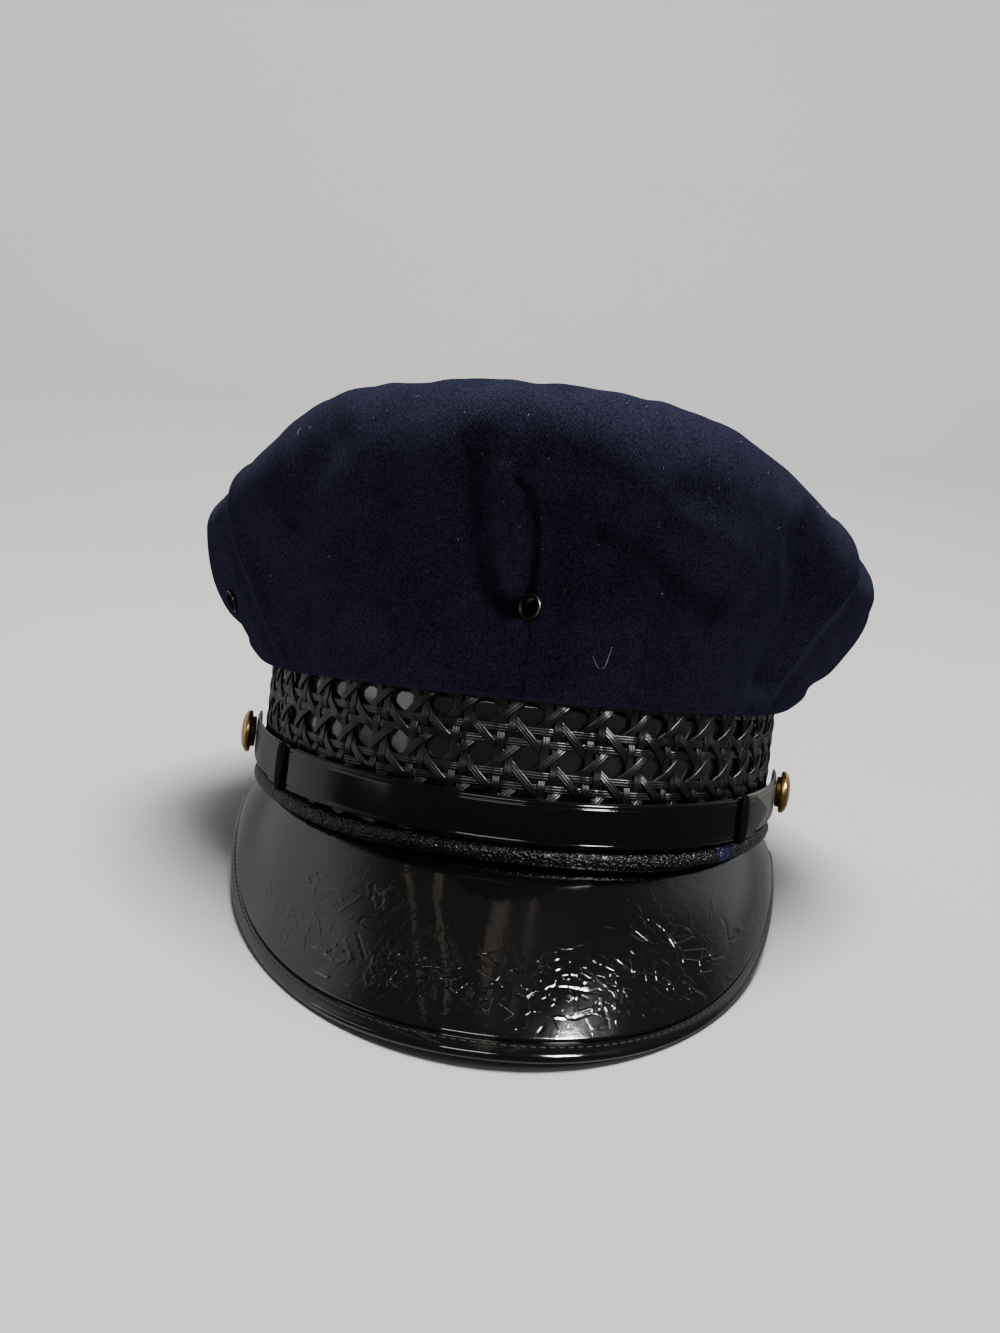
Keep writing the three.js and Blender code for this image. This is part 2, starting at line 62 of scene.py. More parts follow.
# Driving dimensions of the cap, in millimetres and degrees, as in the solid model
CLEARANCE = 0.35
CLOTH = 2.2
BAND_HALF_WIDTH = 85.5
BAND_HALF_LENGTH = 103.0
BAND_SIDE_RISE = 6.0
RISE_SPAN = (25.0, 85.0)
WELT_HEIGHT = 5.2
WELT_WIDTH = 4.0
CANE_THICKNESS = 2.0
CANE_TOP = 48.0
SWEATBAND_THICKNESS = 1.3
SWEATBAND_TOP = 44.0
SWEATBAND_LIFT = 2.0
HEM_HEIGHT = 45.3
HEM_TILT = 1.6
CROWN_HALF_WIDTH = 114.0
CROWN_FRONT = 118.0
CROWN_BACK = 122.0
CORNER_CRISPNESS = 0.8
SEAM_FOOT, SEAM_LEAN, SEAM_CURVE = 56.3, 17.0, 5.0
FULLNESS_FRONT, FULLNESS_SIDE = 1.5, 2.4
TURN_FRONT, TURN_BACK, TURN_TALL, TURN_ANGLE = 18.0, 7.0, 1.1, math.radians(108)
TOP_MIDDLE, TOP_SLOPE, TOP_DOME = 98.0, 0.22, 5.0
VISOR_ANGLE, VISOR_EDGE_ANGLE = 84.0, 86.0
VISOR_HALF_WIDTH, VISOR_REACH = 90.5, 142.0
VISOR_DROP, VISOR_END_RISE, VISOR_RISE_POWER = 43.4, 45.4, 1.6
VISOR_BULGE, VISOR_TUCK, VISOR_THICKNESS = 2.5, -1.0, 2.2
VISOR_BULGE_POWER = 0.6
BINDING_FRONT, BINDING_SIDE, BINDING_THICKNESS = 4.6, 5.6, 3.4
STRAP_WIDTH, STRAP_THICKNESS = 12.5, 1.3
STRAP_HEIGHT, STRAP_END_RISE, STRAP_RISE_POWER = 12.3, 8.2, 1.9
STRAP_OUTER_ANGLE, STRAP_UNDER_ANGLE, STRAP_POINT_ANGLE = 62.5, 85.0, 6.5
KEEPER_ANGLE, KEEPER_WIDTH, KEEPER_BACK, KEEPER_FRONT = 50.3, 5.0, 0.8, 1.1
BUTTON_ANGLE, BUTTON_RADIUS, BUTTON_HEIGHT = 81.0, 7.0, 4.6
EYELET_RADIUS, EYELET_HOLE, EYELET_FLANGE = 3.8, 2.6, 0.6
UNDER_STRAP = 2 * CLEARANCE + KEEPER_BACK
OUTER_STRAP = UNDER_STRAP + STRAP_THICKNESS + CLEARANCE

# The resting pose: its tilt, and the shift that puts the cane band's box where the packed model has it
REST_TILT = math.radians(12.6)
band_top_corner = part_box("cane_band")[1]
TILT_COS, TILT_SIN = math.cos(REST_TILT), math.sin(REST_TILT)
REST_SHIFT = np.array([
    0.0,
    band_top_corner.y / MM - BAND_HALF_LENGTH * TILT_COS - CANE_TOP * TILT_SIN,
    band_top_corner.z / MM - CANE_TOP * TILT_COS - BAND_HALF_LENGTH * TILT_SIN,
])
TO_REST = np.array([[1, 0, 0], [0, TILT_COS, TILT_SIN], [0, -TILT_SIN, TILT_COS]])

# The crown's edge from the front round to the back: reach and height at even steps of angle
EDGE_STEP = 22.5
EDGE_REACH = np.array([1, 1, 0.88, 1, 1, 1, 0.94, 1, 1])
EDGE_HEIGHT = np.array([128.5, 127, 118.2, 101.5, 94, 88.5, 84, 80.5, 79])

# Swelling of the crown's shoulder: angle, width of the swell in degrees, and how far it stands out
SWELLS = ((0.0, 62.0, 2.4), (-46.0, 16.0, 6.4), (-86.0, 12.0, -1.0), (46.0, 20.0, 3.2), (66.0, 13.0, 1.8))

# Folds of the crown's wall: a path of angles and heights, the fold's width, and its depth inwards
FOLD_ARC_RADIUS = 108.0
FOLDS = {
    "pinched crease": ([(-3.9, 105), (-2.2, 102.2), (-1.2, 97), (-0.6, 88), (-0.5, 75)], 1.3, 3.4),
    "pinched ridge": ([(-6.0, 106), (-4.9, 98), (-4.2, 84), (-3.6, 78)], 3.4, -2.0),
    "broad valley": ([(-9.8, 111), (-9.4, 101), (-8.4, 84), (-6.4, 75.5), (-3, 72)], 4.0, 5.6),
    "brow over the pinch": ([(-15, 108), (-10, 119), (-1.5, 121), (7, 116), (13, 107)], 9, -1.8),
    "dent beside the crease": ([(2.8, 99), (4.6, 80)], 9.5, 4.8),
    "dimple": ([(9.2, 100), (9.8, 95.5)], 4.5, 3.2),
    "right upper dent": ([(21, 106), (25, 103)], 6, 1.0),
    "right front valley": ([(16, 93.5), (24, 86.5), (32, 80.5)], 6.2, 3.8),
    "right front swell": ([(20, 98), (36, 88)], 10, -2.4),
    "right seam valley": ([(49, 100), (54.5, 79), (53, 60)], 9.0, 4.8),
    "left soft fold": ([(-35, 110.5), (-45, 91)], 7.0, 2.8),
    "left lower fold": ([(-26.5, 86), (-35, 71), (-45, 64)], 6.5, 2.4),
    "left side sag": ([(-76, 54), (-125, 53)], 3.4, 2.6),
    "right side sag": ([(70, 58), (120, 52)], 3.4, 2.2),
    "left back fold": ([(-128, 78), (-136, 56)], 7, 1.8),
    "right back fold": ([(133, 76), (142, 55)], 7, 1.8),
}

# Vent eyelets: panel, angle from the front, height
EYELETS = {
    "eyelet_front": ("crown_front", -0.5, 71.0),
    "eyelet_left": ("crown_left", -73.0, 63.0),
}


# Settings that a user would change

def length(name, description, millimetres):
    """A length setting, with its default given in millimetres."""
    return FloatProperty(
        name=name, description=description, default=millimetres * MM, unit="LENGTH", precision=5)


def tint(name, description, default):
    """A colour setting."""
    return FloatVectorProperty(
        name=name, description=description, default=default, subtype="COLOR", size=3, min=0, max=1)


class CapCrownSettings(bpy.types.PropertyGroup):
    """The cloth crown."""
    cloth_colour: tint("Cloth", "Colour of the wool in its hollows", (0.0066, 0.0064, 0.0130))
    nap_colour: tint("Nap", "Colour of the raised nap where light catches it", (0.0228, 0.0228, 0.0432))
    twill_pitch: length("Twill pitch", "Distance between the cloth's slanting ribs", 0.75)
    seam_roll: length("Seam roll", "How far each panel's edge turns in at a seam", 2.0)
    lint_colour: tint("Lint", "Colour of the lint on the cloth", (0.28, 0.28, 0.30))


class CapCaneSettings(bpy.types.PropertyGroup):
    """The woven band."""
    cane_colour: tint("Cane", "Colour of the lacquered cane", (0.0105, 0.0090, 0.0080))
    hole_pitch: length("Hole pitch", "Distance between holes round the band, before rounding", 12.65)
    row_pitch: length("Row pitch", "Distance between rows of holes", 12.3)
    strand_width: length("Strand width", "Width of one strand", 2.3)
    strand_thickness: length("Strand thickness", "Thickness of one strand", 0.6)


class CapLeatherSettings(bpy.types.PropertyGroup):
    """The peak, straps, welt and sweatband."""
    patent_colour: tint("Patent", "Colour under the peak's gloss", (0.0035, 0.0035, 0.004))
    grained_colour: tint("Grained", "Colour of the welt and keepers", (0.0035, 0.0034, 0.0036))
    worn_colour: tint("Worn strap", "Colour of the under strap where it is rubbed", (0.13, 0.118, 0.104))
    stain_colour: tint("Stain", "Colour of the ink stain on the welt", (0.008, 0.004, 0.13))
    sweatband_colour: tint("Sweatband", "Colour of the inner band", (0.016, 0.0145, 0.0165))
    thread_colour: tint("Thread", "Colour of the stitches", (0.010, 0.010, 0.011))
    stitch_length: length("Stitch length", "Distance between stitches of the peak's edge", 2.6)
    crease_depth: length("Crease depth", "Greatest height of a crease in the peak's film", 0.16)
    crease_count: IntProperty(
        name="Creases", description="Number of creases in the peak's film", default=150, min=0)


class CapMetalSettings(bpy.types.PropertyGroup):
    """The buttons and eyelets."""
    gold_colour: tint("Gold", "Colour of the buttons", (0.74, 0.49, 0.17))
    # The tarnish colour also paints the shade on the buttons' back plates
    tarnish_and_shade_colour: tint("Tarnish", "Colour of the buttons' dulled hollows", (0.16, 0.09, 0.03))
    blackened_colour: tint("Blackened", "Colour of the eyelets' coating", (0.012, 0.011, 0.010))
    bare_colour: tint("Bare metal", "Colour where the coating is worn off", (0.42, 0.38, 0.31))


class CapStageSettings(bpy.types.PropertyGroup):
    """The floor and lights."""
    floor_colour: tint("Floor", "Colour of the floor and backdrop", (0.46, 0.452, 0.444))
    pale_colour: tint("Pale light", "Colour of the light from behind the cap", (0.86, 0.88, 0.90))
    dim_colour: tint("Dim light", "Colour of the light from in front", (0.115, 0.112, 0.108))
    overhead_colour: tint("Overhead light", "Colour of the light from above", (0.085, 0.068, 0.058))
    streak_colour: tint("Streak light", "Colour of the narrow panels overhead", (1.0, 0.86, 0.62))
    sky_strength: FloatProperty(
        name="Sky strength", description="Strength of the light from all round", default=0.7, min=0)
    panel_power: FloatProperty(
        name="Panel power", description="Power of each soft panel", default=26.0, min=0, unit="POWER")


# Shader maths

class Field:
    """A value that changes over a surface: sums and products of fields add Math nodes."""

    def __init__(self, finish, socket):
        self.finish = finish
        self.socket = socket

    def joined(self, operation, first, second):
        return self.finish.node("ShaderNodeMath", {"operation": operation}, {0: first, 1: second})

    def __add__(self, other):
        return self.joined("ADD", self, other)

    def __sub__(self, other):
        return self.joined("SUBTRACT", self, other)

    def __rsub__(self, other):
        return self.joined("SUBTRACT", other, self)

    def __mul__(self, other):
        return self.joined("MULTIPLY", self, other)

    def span(self, low, high, to_low=0.0, to_high=1.0):
        """Maps low..high smoothly onto to_low..to_high."""
        settings = {"interpolation_type": "SMOOTHSTEP"}
        inputs = dict(enumerate((self, low, high, to_low, to_high)))
        return self.finish.node("ShaderNodeMapRange", settings, inputs)


class Finish:
    """A material being made: every node comes from node()."""

    def __init__(self, name, library="materials"):
        self.owner = getattr(bpy.data, library).new(name)
        self.owner.use_nodes = True
        self.tree = self.owner.node_tree
        self.tree.nodes.clear()

    def node(self, kind, settings=None, inputs=None, output=0):
        """Adds a node, makes its settings, fills its sockets with values or links, and returns an output."""
        made = self.tree.nodes.new(kind)
        for key, value in (settings or {}).items():
            setattr(made, key, value)
        for key, value in (inputs or {}).items():
            if isinstance(value, Field):
                self.tree.links.new(value.socket, made.inputs[key])
            else:
                made.inputs[key].default_value = value
        return Field(self, made.outputs[output]) if len(made.outputs) else None

    def place(self, kind="Object"):
        return self.node("ShaderNodeTexCoord", output=kind)

    def stretched(self, place, scale):
        """Coordinates scaled by different amounts along their axes."""
        return self.node("ShaderNodeVectorMath", {"operation": "MULTIPLY"}, {0: place, 1: scale})

    def noise(self, place, scale, detail=3.0, roughness=0.55, distortion=0.0):
        inputs = {"Vector": place, "Scale": scale, "Detail": detail, "Roughness": roughness,
                  "Distortion": distortion}
        return self.node("ShaderNodeTexNoise", None, inputs)

    def cells(self, place, scale, feature):
        return self.node("ShaderNodeTexVoronoi", {"feature": feature}, {"Vector": place, "Scale": scale})

    def mark(self, name):
        """A named value that the piece's points carry."""
        return self.node("ShaderNodeAttribute", {"attribute_name": name}, output="Fac")

    def blend(self, share, first, second):
        """A colour between two colours."""
        colours = [value if isinstance(value, Field) else (*value, 1.0) for value in (first, second)]
        inputs = {0: share, 6: colours[0], 7: colours[1]}
        return self.node("ShaderNodeMix", {"data_type": "RGBA", "clamp_factor": True}, inputs, output=2)

    def bump(self, height, distance, strength=1.0, under=None):
        inputs = {"Height": height, "Distance": distance, "Strength": strength}
        if under is not None:
            inputs["Normal"] = under
        return self.node("ShaderNodeBump", None, inputs, output="Normal")

    def surface(self, **inputs):
        """The finished shader: names of its sockets in lower case, with _ for a space."""
        named = {key.replace("_", " ").title().replace("Ior", "IOR"): value for key, value in inputs.items()}
        shader = self.node("ShaderNodeBsdfPrincipled", None, named)
        self.node("ShaderNodeOutputMaterial", None, {"Surface": shader})
        return self.owner


# Finishes

# Distance between the bands of a diagonal wave texture of scale 1
DIAGONAL_WAVE = 0.444


def scaled(colour, factor):
    """A colour with each part multiplied, up to white."""
    return tuple(min(1.0, factor * part) for part in colour)


def cloth_finish(look):
    """Navy wool: slanting twill ribs under a short nap, paler where the nap stands up, and painted paler
    along the seams as a highlight where their edges catch light.
    """
    finish = Finish("navy_wool")
    threads = finish.place("UV")
    object_place = finish.place()
    rib_scale = DIAGONAL_WAVE * MM / look.twill_pitch
    ribs = finish.node(
        "ShaderNodeTexWave",
        {"wave_type": "BANDS", "bands_direction": "DIAGONAL"},
        {"Vector": threads, "Scale": rib_scale, "Distortion": 2.2, "Detail": 2.0, "Detail Scale": 0.9})
    nap = finish.noise(object_place, 1500.0, detail=4.0, roughness=0.7)
    rubbed = finish.noise(object_place, 38.0, detail=4.0, roughness=0.6)
    # Painted highlight: the panels' mark lightens the cloth along the seams and the top edge, where the seam
    # edges catch light
    wear_and_highlight = finish.mark("wear_and_highlight")
    lit = (nap - 0.5) * 4.0 + (rubbed - 0.5) + ribs * 0.24 + wear_and_highlight * 1.7 + 0.24
    colour = finish.blend(lit, look.cloth_colour, look.nap_colour)
    height = ribs * 0.25 + nap * 0.8
    return finish.surface(
        base_color=colour, roughness=0.95, specular_ior_level=0.0,
        normal=finish.bump(height, 0.00022, 0.55),
        sheen_weight=0.03, sheen_roughness=0.5, sheen_tint=(0.45, 0.5, 0.8, 1.0))


def cane_finish(look):
    """Black lacquered cane: fine pits, dulled in patches."""
    finish = Finish("lacquered_cane")
    place = finish.place()
    dull = finish.noise(place, 60.0, detail=4.0)
    pits = finish.noise(place, 900.0, detail=3.0, roughness=0.6)
    wear_and_highlight = finish.noise(place, 240.0, detail=3.0).span(0.58, 0.78)
    red, green, blue = look.cane_colour
    brown = (1.8 * red, 1.8 * green, 1.4 * blue)
    return finish.surface(
        base_color=finish.blend(wear_and_highlight, look.cane_colour, brown),
        roughness=dull.span(0.3, 0.7, 0.22, 0.38),
        normal=finish.bump(pits, 0.00012, 0.5),
        ior=1.52)


def sweatband_finish(look):
    """Smooth glazed leather with a slow ripple."""
    finish = Finish("glazed_leather")
    place = finish.place()
    ripple = finish.noise(place, 70.0, detail=2.0)
    pores = finish.noise(place, 1400.0, detail=2.0)
    scuffed = finish.noise(place, 30.0, detail=5.0, roughness=0.65)
    pale = scaled(look.sweatband_colour, 2.2)
    return finish.surface(
        base_color=finish.blend(scuffed.span(0.35, 0.75), look.sweatband_colour, pale),
        roughness=scuffed.span(0.3, 0.7, 0.12, 0.26),
        normal=finish.bump(ripple + pores * 0.03, 0.0012, 0.5),
        coat_weight=1.0, coat_roughness=0.1)


def keeper_finish(look):
    """Soft black leather, nearly without gloss."""
    finish = Finish("dull_leather")
    creased = finish.noise(finish.place(), 500.0, detail=4.0, roughness=0.6)
    return finish.surface(
        base_color=(*look.grained_colour, 1.0), specular_ior_level=0.06,
        roughness=creased.span(0.3, 0.7, 0.5, 0.7),
        normal=finish.bump(creased, 0.00015, 0.6))


def grained_finish(look):
    """Pebbled leather: rounded grains with dark valleys, rubbed bright on their tops."""
    finish = Finish("pebbled_leather")
    place = finish.place()
    wander = finish.noise(place, 300.0, detail=2.0)
    pebbles = finish.cells(place, 1350.0, feature="SMOOTH_F1")
    tops = 1.0 - pebbles.span(0.12, 0.7)
    rubbed = finish.noise(place, 55.0, detail=4.0).span(0.45, 0.7)
    stain = finish.mark("stain")
    blot = (stain + (wander - 0.5) * 0.8).span(0.35, 0.6)
    pale = scaled(look.grained_colour, 3.0)
    leather = finish.blend(tops * rubbed, look.grained_colour, pale)
    height = tops + wander * 0.5
    return finish.surface(
        base_color=finish.blend(blot, leather, look.stain_colour),
        roughness=0.40 - tops * 0.16, specular_ior_level=0.36,
        normal=finish.bump(height, 0.0004, 0.9))


def patent_finish(look, name, ior, sharpest, dullest):
    """Patent leather: a black ground under thick gloss, with smears and dust.

    It is grey where it is marked as worn, and has fine angular lines where its film is marked as creased.
    """
    finish = Finish(name)
    place = finish.place()
    creased = finish.mark("creased")
    wear_and_highlight = finish.mark("wear_and_highlight")
    ground = finish.blend(wear_and_highlight, look.patent_colour, look.worn_colour)
    bent = finish.stretched(place, (1.0, 1.25, 1.25))
    lines = 1.0 - finish.cells(bent, 150.0, feature="DISTANCE_TO_EDGE").span(0.0, 0.04)
    fine_lines = 1.0 - finish.cells(bent, 330.0, feature="DISTANCE_TO_EDGE").span(0.0, 0.07)
    broken = finish.noise(place, 130.0, detail=3.0, roughness=0.6)
    crazing = (lines * broken.span(0.5, 0.58) + fine_lines * broken.span(0.5, 0.42) * 0.3) * creased
    wiped = finish.stretched(place, (1.0, 0.45, 0.45))
    smears = finish.noise(wiped, 42.0, detail=5.0, roughness=0.6, distortion=0.6)
    orange_peel = finish.noise(place, 210.0, detail=2.0)
    dust = finish.noise(place, 2600.0, detail=1.0).span(0.70, 0.78)
    dusty = scaled(look.patent_colour, 9.0)
    return finish.surface(
        base_color=finish.blend(dust * smears, ground, dusty),
        roughness=smears.span(0.35, 0.72, sharpest, dullest),
        normal=finish.bump(crazing, 0.0002, 0.8, finish.bump(orange_peel, 0.00012, 0.35)),
        ior=ior)


def gold_finish(look):
    """Gilt metal, dulled in its hollows and finely rubbed, with its back plate painted dark as shade."""
    finish = Finish("gilt_metal")
    place = finish.place()
    # The mark is real tarnish in the dome's hollows, and painted shade on the back plate and the back of the
    # rim
    tarnish_and_back_shade = finish.mark("tarnish_and_back_shade")
    spots = finish.noise(place, 420.0, detail=5.0, roughness=0.65)
    tarnish_and_shade = tarnish_and_back_shade * 0.8 + spots.span(0.52, 0.75) * 0.55
    rubs = finish.noise(finish.stretched(place, (1.0, 1.0, 4.0)), 900.0, detail=3.0)
    return finish.surface(
        base_color=finish.blend(tarnish_and_shade, look.gold_colour, look.tarnish_and_shade_colour),
        metallic=1.0, roughness=tarnish_and_shade * 0.22 + 0.2,
        normal=finish.bump(rubs, 0.00006, 0.6))


def blackened_finish(look):
    """Blackened metal, worn to bare metal on its crest."""
    finish = Finish("blackened_metal")
    place = finish.place()
    crest = finish.mark("crest")
    chips = finish.noise(place, 900.0, detail=4.0, roughness=0.65)
    bare = (crest * 0.9 + chips * 1.6 - 1.42).span(0.0, 0.35)
    return finish.surface(
        base_color=finish.blend(bare, look.blackened_colour, look.bare_colour),
        metallic=0.9, roughness=0.5 - bare * 0.2,
        normal=finish.bump(chips, 0.00008, 0.6))


def thread_finish(colour, name):
    """Twisted thread: fine slanting plies."""
    finish = Finish(name)
    place = finish.place()
    plies = finish.noise(place, 2400.0, detail=2.0)
    pale = scaled(colour, 1.8)
    return finish.surface(
        base_color=finish.blend(plies, colour, pale), roughness=0.6,
        normal=finish.bump(plies, 0.0001, 0.6))


def floor_finish(look):
    """Plain pale paper with the faintest mottle."""
    finish = Finish("pale_floor")
    mottle = finish.noise(finish.place(), 4.0, detail=3.0)
    deep = scaled(look.floor_colour, 0.97)
    return finish.surface(base_color=finish.blend(mottle, look.floor_colour, deep), roughness=0.85)


# Surfaces

def to_rest(points):
    """Tips points of the upright cap back into the resting pose, and turns millimetres into metres."""
    return (points @ TO_REST.T + REST_SHIFT) * MM


def between(first, last, share):
    return first + (last - first) * share


def smooth(low, high, value):
    """0 below low, 1 above high, and an S between them."""
    share = np.clip((value - low) / (high - low), 0, 1)
    return share * share * (3 - 2 * share)


def bell(distance, width):
    return np.exp(-((distance / width) ** 2))


def squared(value, power):
    """A cosine or sine raised to a power with its sign kept: below 1 it squares a circle up."""
    return np.sign(value) * np.abs(value) ** power


def full_turn(count, start=0.0):
    """Even steps of angle round a full turn."""
    return np.linspace(start, start + 2 * math.pi, count, endpoint=False)


def unit(vectors):
    return vectors / np.linalg.norm(vectors, axis=-1, keepdims=True)


def path_distance(places, bends):
    """How far points of a plane are from a path of straight runs: the least of the distances to its runs."""
    run = np.diff(bends, axis=0)
    away = places[..., None, :] - bends[:-1]
    share = np.clip((away * run).sum(axis=-1) / (run * run).sum(axis=-1), 0, 1)
    return np.linalg.norm(away - share[..., None] * run, axis=-1).min(axis=-1)


def edged_steps(count, span, power=1.0):
    """Shares from 0 to 1, close together within 2 mm of both ends and drawn to the middle by a power."""
    close = np.array([0, 0.06, 0.25, 0.55, 0.95, 1.4, 2.0]) / span
    middle = (1 + squared(np.linspace(-1, 1, count), power)) / 2
    middle = middle[(middle > 1.25 * close[-1]) & (middle < 1 - 1.25 * close[-1])]
    return np.concatenate([close, middle, 1 - close[::-1]])


def grid_quads(columns, rows, round_columns=False, round_rows=False):
    """Faces of a grid counted column by column: each joins a point to the next column and the next row."""
    column, row = np.meshgrid(
        np.arange(columns if round_columns else columns - 1),
        np.arange(rows if round_rows else rows - 1), indexing="ij")

    def corner(right, above):
        return ((column + right) % columns) * rows + (row + above) % rows

    return np.stack([corner(0, 0), corner(1, 0), corner(1, 1), corner(0, 1)], axis=-1).reshape(-1, 4)


def loft_faces(points, closed_round=False):
    """Faces of profiles carried along paths: points go by path, station and side; open ends are capped."""
    paths, stations, sides = points.shape[:3]
    starts = np.arange(paths)[:, None] * stations * sides
    one = grid_quads(stations, sides, closed_round, True)
    faces = [(one[None] + starts[:, :, None]).reshape(-1, 4)]
    if not closed_round:
        ring = np.arange(sides)
        faces += [ring + starts, (stations - 1) * sides + ring[::-1] + starts]
    return faces


def pole_fans(rings, sides):
    """Triangles from a first and a last point to the rings next to them, which are counted after both."""
    ring = np.arange(sides)
    first, last = 2 + ring, 2 + (rings - 1) * sides + ring
    return np.concatenate([
        np.stack([np.zeros_like(ring), first, np.roll(first, -1)], axis=-1),
        np.stack([np.ones_like(ring), np.roll(last, -1), last], axis=-1)])


def turned_faces(rings, sides):
    """Faces of rings closed at both ends by a point: the two end points are counted before the rings."""
    quads = 2 + grid_quads(rings, sides, False, True)
    return [quads, pole_fans(rings, sides)]


def shell(outer, inner, quads):
    """A wall of two like grids: the inner one faces the other way, and strips join every open border."""
    count = outer.reshape(-1, 3).shape[0]
    edges = np.concatenate([quads[:, [k, (k + 1) % 4]] for k in range(4)])
    forward = edges[:, 0] * count + edges[:, 1]
    backward = edges[:, 1] * count + edges[:, 0]
    border = edges[~np.isin(forward, backward)]
    strips = np.stack([border[:, 1], border[:, 0], border[:, 0] + count, border[:, 1] + count], axis=-1)
    points = np.concatenate([outer.reshape(-1, 3), inner.reshape(-1, 3)])
    return points, [quads, quads[:, ::-1] + count, strips]


def outward(points, faces):
    """Turns all the faces round if together they enclose a negative volume."""
    volume = sum(
        np.einsum("ij,ij->i", points[f[:, 0]], np.cross(points[f[:, k]], points[f[:, k + 1]])).sum()
        for f in faces for k in range(1, f.shape[1] - 1))
    return faces if volume > 0 else [f[:, ::-1] for f in faces]


def add_piece(name, points, faces, finish, nodes=(), threads=None, marks=None, on_floor=False):
    """Puts a surface into a mesh of its own that rides on the cap and stands for nodes of the solid model.

    threads are surface coordinates in millimetres for a weave, marks are named values on the points, and
    on_floor presses what would reach below the floor flat against it.
    """
    points = np.asarray(points, float).reshape(-1, 3)
    faces = outward(points, faces)
    used = np.unique(np.concatenate([f.ravel() for f in faces]))
    renumbered = np.zeros(len(points), np.int32)
    renumbered[used] = np.arange(len(used))
    corners = np.concatenate([renumbered[f].ravel() for f in faces]).astype(np.int32)
    sizes = np.concatenate([np.full(len(f), f.shape[1]) for f in faces])
    starts = np.concatenate([[0], np.cumsum(sizes)[:-1]]).astype(np.int32)
    placed = to_rest(points[used])
    if on_floor:
        placed[:, 2] = np.maximum(placed[:, 2], 0)
    mesh = bpy.data.meshes.new(name)
    mesh.vertices.add(len(used))
    mesh.vertices.foreach_set("co", placed.astype(np.float32).ravel())
    mesh.loops.add(len(corners))
    mesh.loops.foreach_set("vertex_index", corners)
    mesh.polygons.add(len(starts))
    mesh.polygons.foreach_set("loop_start", starts)
    mesh.polygons.foreach_set("use_smooth", np.ones(len(starts), bool))
    if threads is not None:
        layer = mesh.uv_layers.new(name="threads")
        along = np.asarray(threads, float).reshape(-1, 2)[used][corners]
        layer.data.foreach_set("uv", along.astype(np.float32).ravel())
    for mark, values in (marks or {}).items():
        attribute = mesh.attributes.new(mark, "FLOAT", "POINT")
        attribute.data.foreach_set("value", np.asarray(values, float).ravel()[used].astype(np.float32))
    mesh.update(calc_edges=True)
    if mesh.validate(verbose=True):
        raise RuntimeError(f"{name} has faces that are not sound")
    mesh.materials.append(finish)
    piece = bpy.data.objects.new(name, mesh)
    bpy.context.scene.collection.objects.link(piece)
    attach(piece, "root")
    if nodes:
        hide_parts(*nodes)


# The band's oval

def oval_normal(angle):
    """The level direction out of the band's oval at an angle from the front."""
    angle = np.asarray(angle, float)
    across = np.sin(angle) / BAND_HALF_WIDTH
    along = -np.cos(angle) / BAND_HALF_LENGTH
    return unit(np.stack([across, along, np.zeros_like(angle)], axis=-1))


def oval_point(angle, outwards, height):
    """A point of the oval x = a sin, y = -b cos, moved outwards along its normal, at a height."""
    angle, outwards, height = np.broadcast_arrays(
        np.asarray(angle, float), np.asarray(outwards, float), np.asarray(height, float))
    x, y = BAND_HALF_WIDTH * np.sin(angle), -BAND_HALF_LENGTH * np.cos(angle)
    return np.stack([x, y, height], axis=-1) + oval_normal(angle) * outwards[..., None]


def lower_rim(angle):
    """The rim is low at the front and rises to the sides, then stays level round the back."""
    low, high = np.radians(RISE_SPAN)
    return BAND_SIDE_RISE * smooth(low, high, np.abs(angle))


# The crown

def edge_column(column, angle):
    """A column of the edge's table at an angle: a Catmull-Rom curve through its rows, alike both sides."""
    place = np.abs(angle) / math.radians(EDGE_STEP)
    last = len(column) - 1
    row = np.minimum(np.floor(place).astype(int), last - 1)
    before, start, end, after = (column[last - np.abs(last - np.abs(row + k))] for k in (-1, 0, 1, 2))
    share = place - row
    bend = 2 * before - 5 * start + 4 * end - after
    twist = -before + 3 * start - 3 * end + after
    return start + (share / 2) * (end - before + share * (bend + share * twist))


def crown_edge(angle):
    """The crown's widest line: an oval drawn out at eight points, with the height of the table."""
    between_points = math.cos(math.pi / 8) ** CORNER_CRISPNESS
    points_out = between(between_points, 1, (0.5 + 0.5 * np.cos(8 * angle)) ** CORNER_CRISPNESS)
    reach = points_out * edge_column(EDGE_REACH, angle)
    half_length = np.where(np.cos(angle) > 0, CROWN_FRONT, CROWN_BACK)
    x, y = CROWN_HALF_WIDTH * reach * np.sin(angle), -half_length * reach * np.cos(angle)
    return np.stack([x, y, edge_column(EDGE_HEIGHT, angle)], axis=-1)


def top_height(angle, reach):
    """A slope down to the back and a low dome, drawn to the edge's height by the cube of the reach."""
    edge = crown_edge(angle)
    slope_edge = TOP_MIDDLE - TOP_SLOPE * edge[..., 1]
    slope_here = TOP_MIDDLE - TOP_SLOPE * edge[..., 1] * reach
    return slope_here + (edge[..., 2] - slope_edge) * reach ** 3 + TOP_DOME * (1 - reach ** 2)


def fold_depth(angle, height):
    """The sum over all folds of depth times a bell curve of the distance from the fold's path."""
    place = np.stack(np.broadcast_arrays(angle * FOLD_ARC_RADIUS, height), axis=-1)
    depth = np.zeros(place.shape[:-1])
    for path, width, deep in FOLDS.values():
        bends = np.array(path) * [math.radians(1) * FOLD_ARC_RADIUS, 1]
        distance = path_distance(place, bends)
        depth += deep * bell(distance, width)
    return depth


def hem_height(angle):
    return HEM_HEIGHT + HEM_TILT * np.sin(angle)


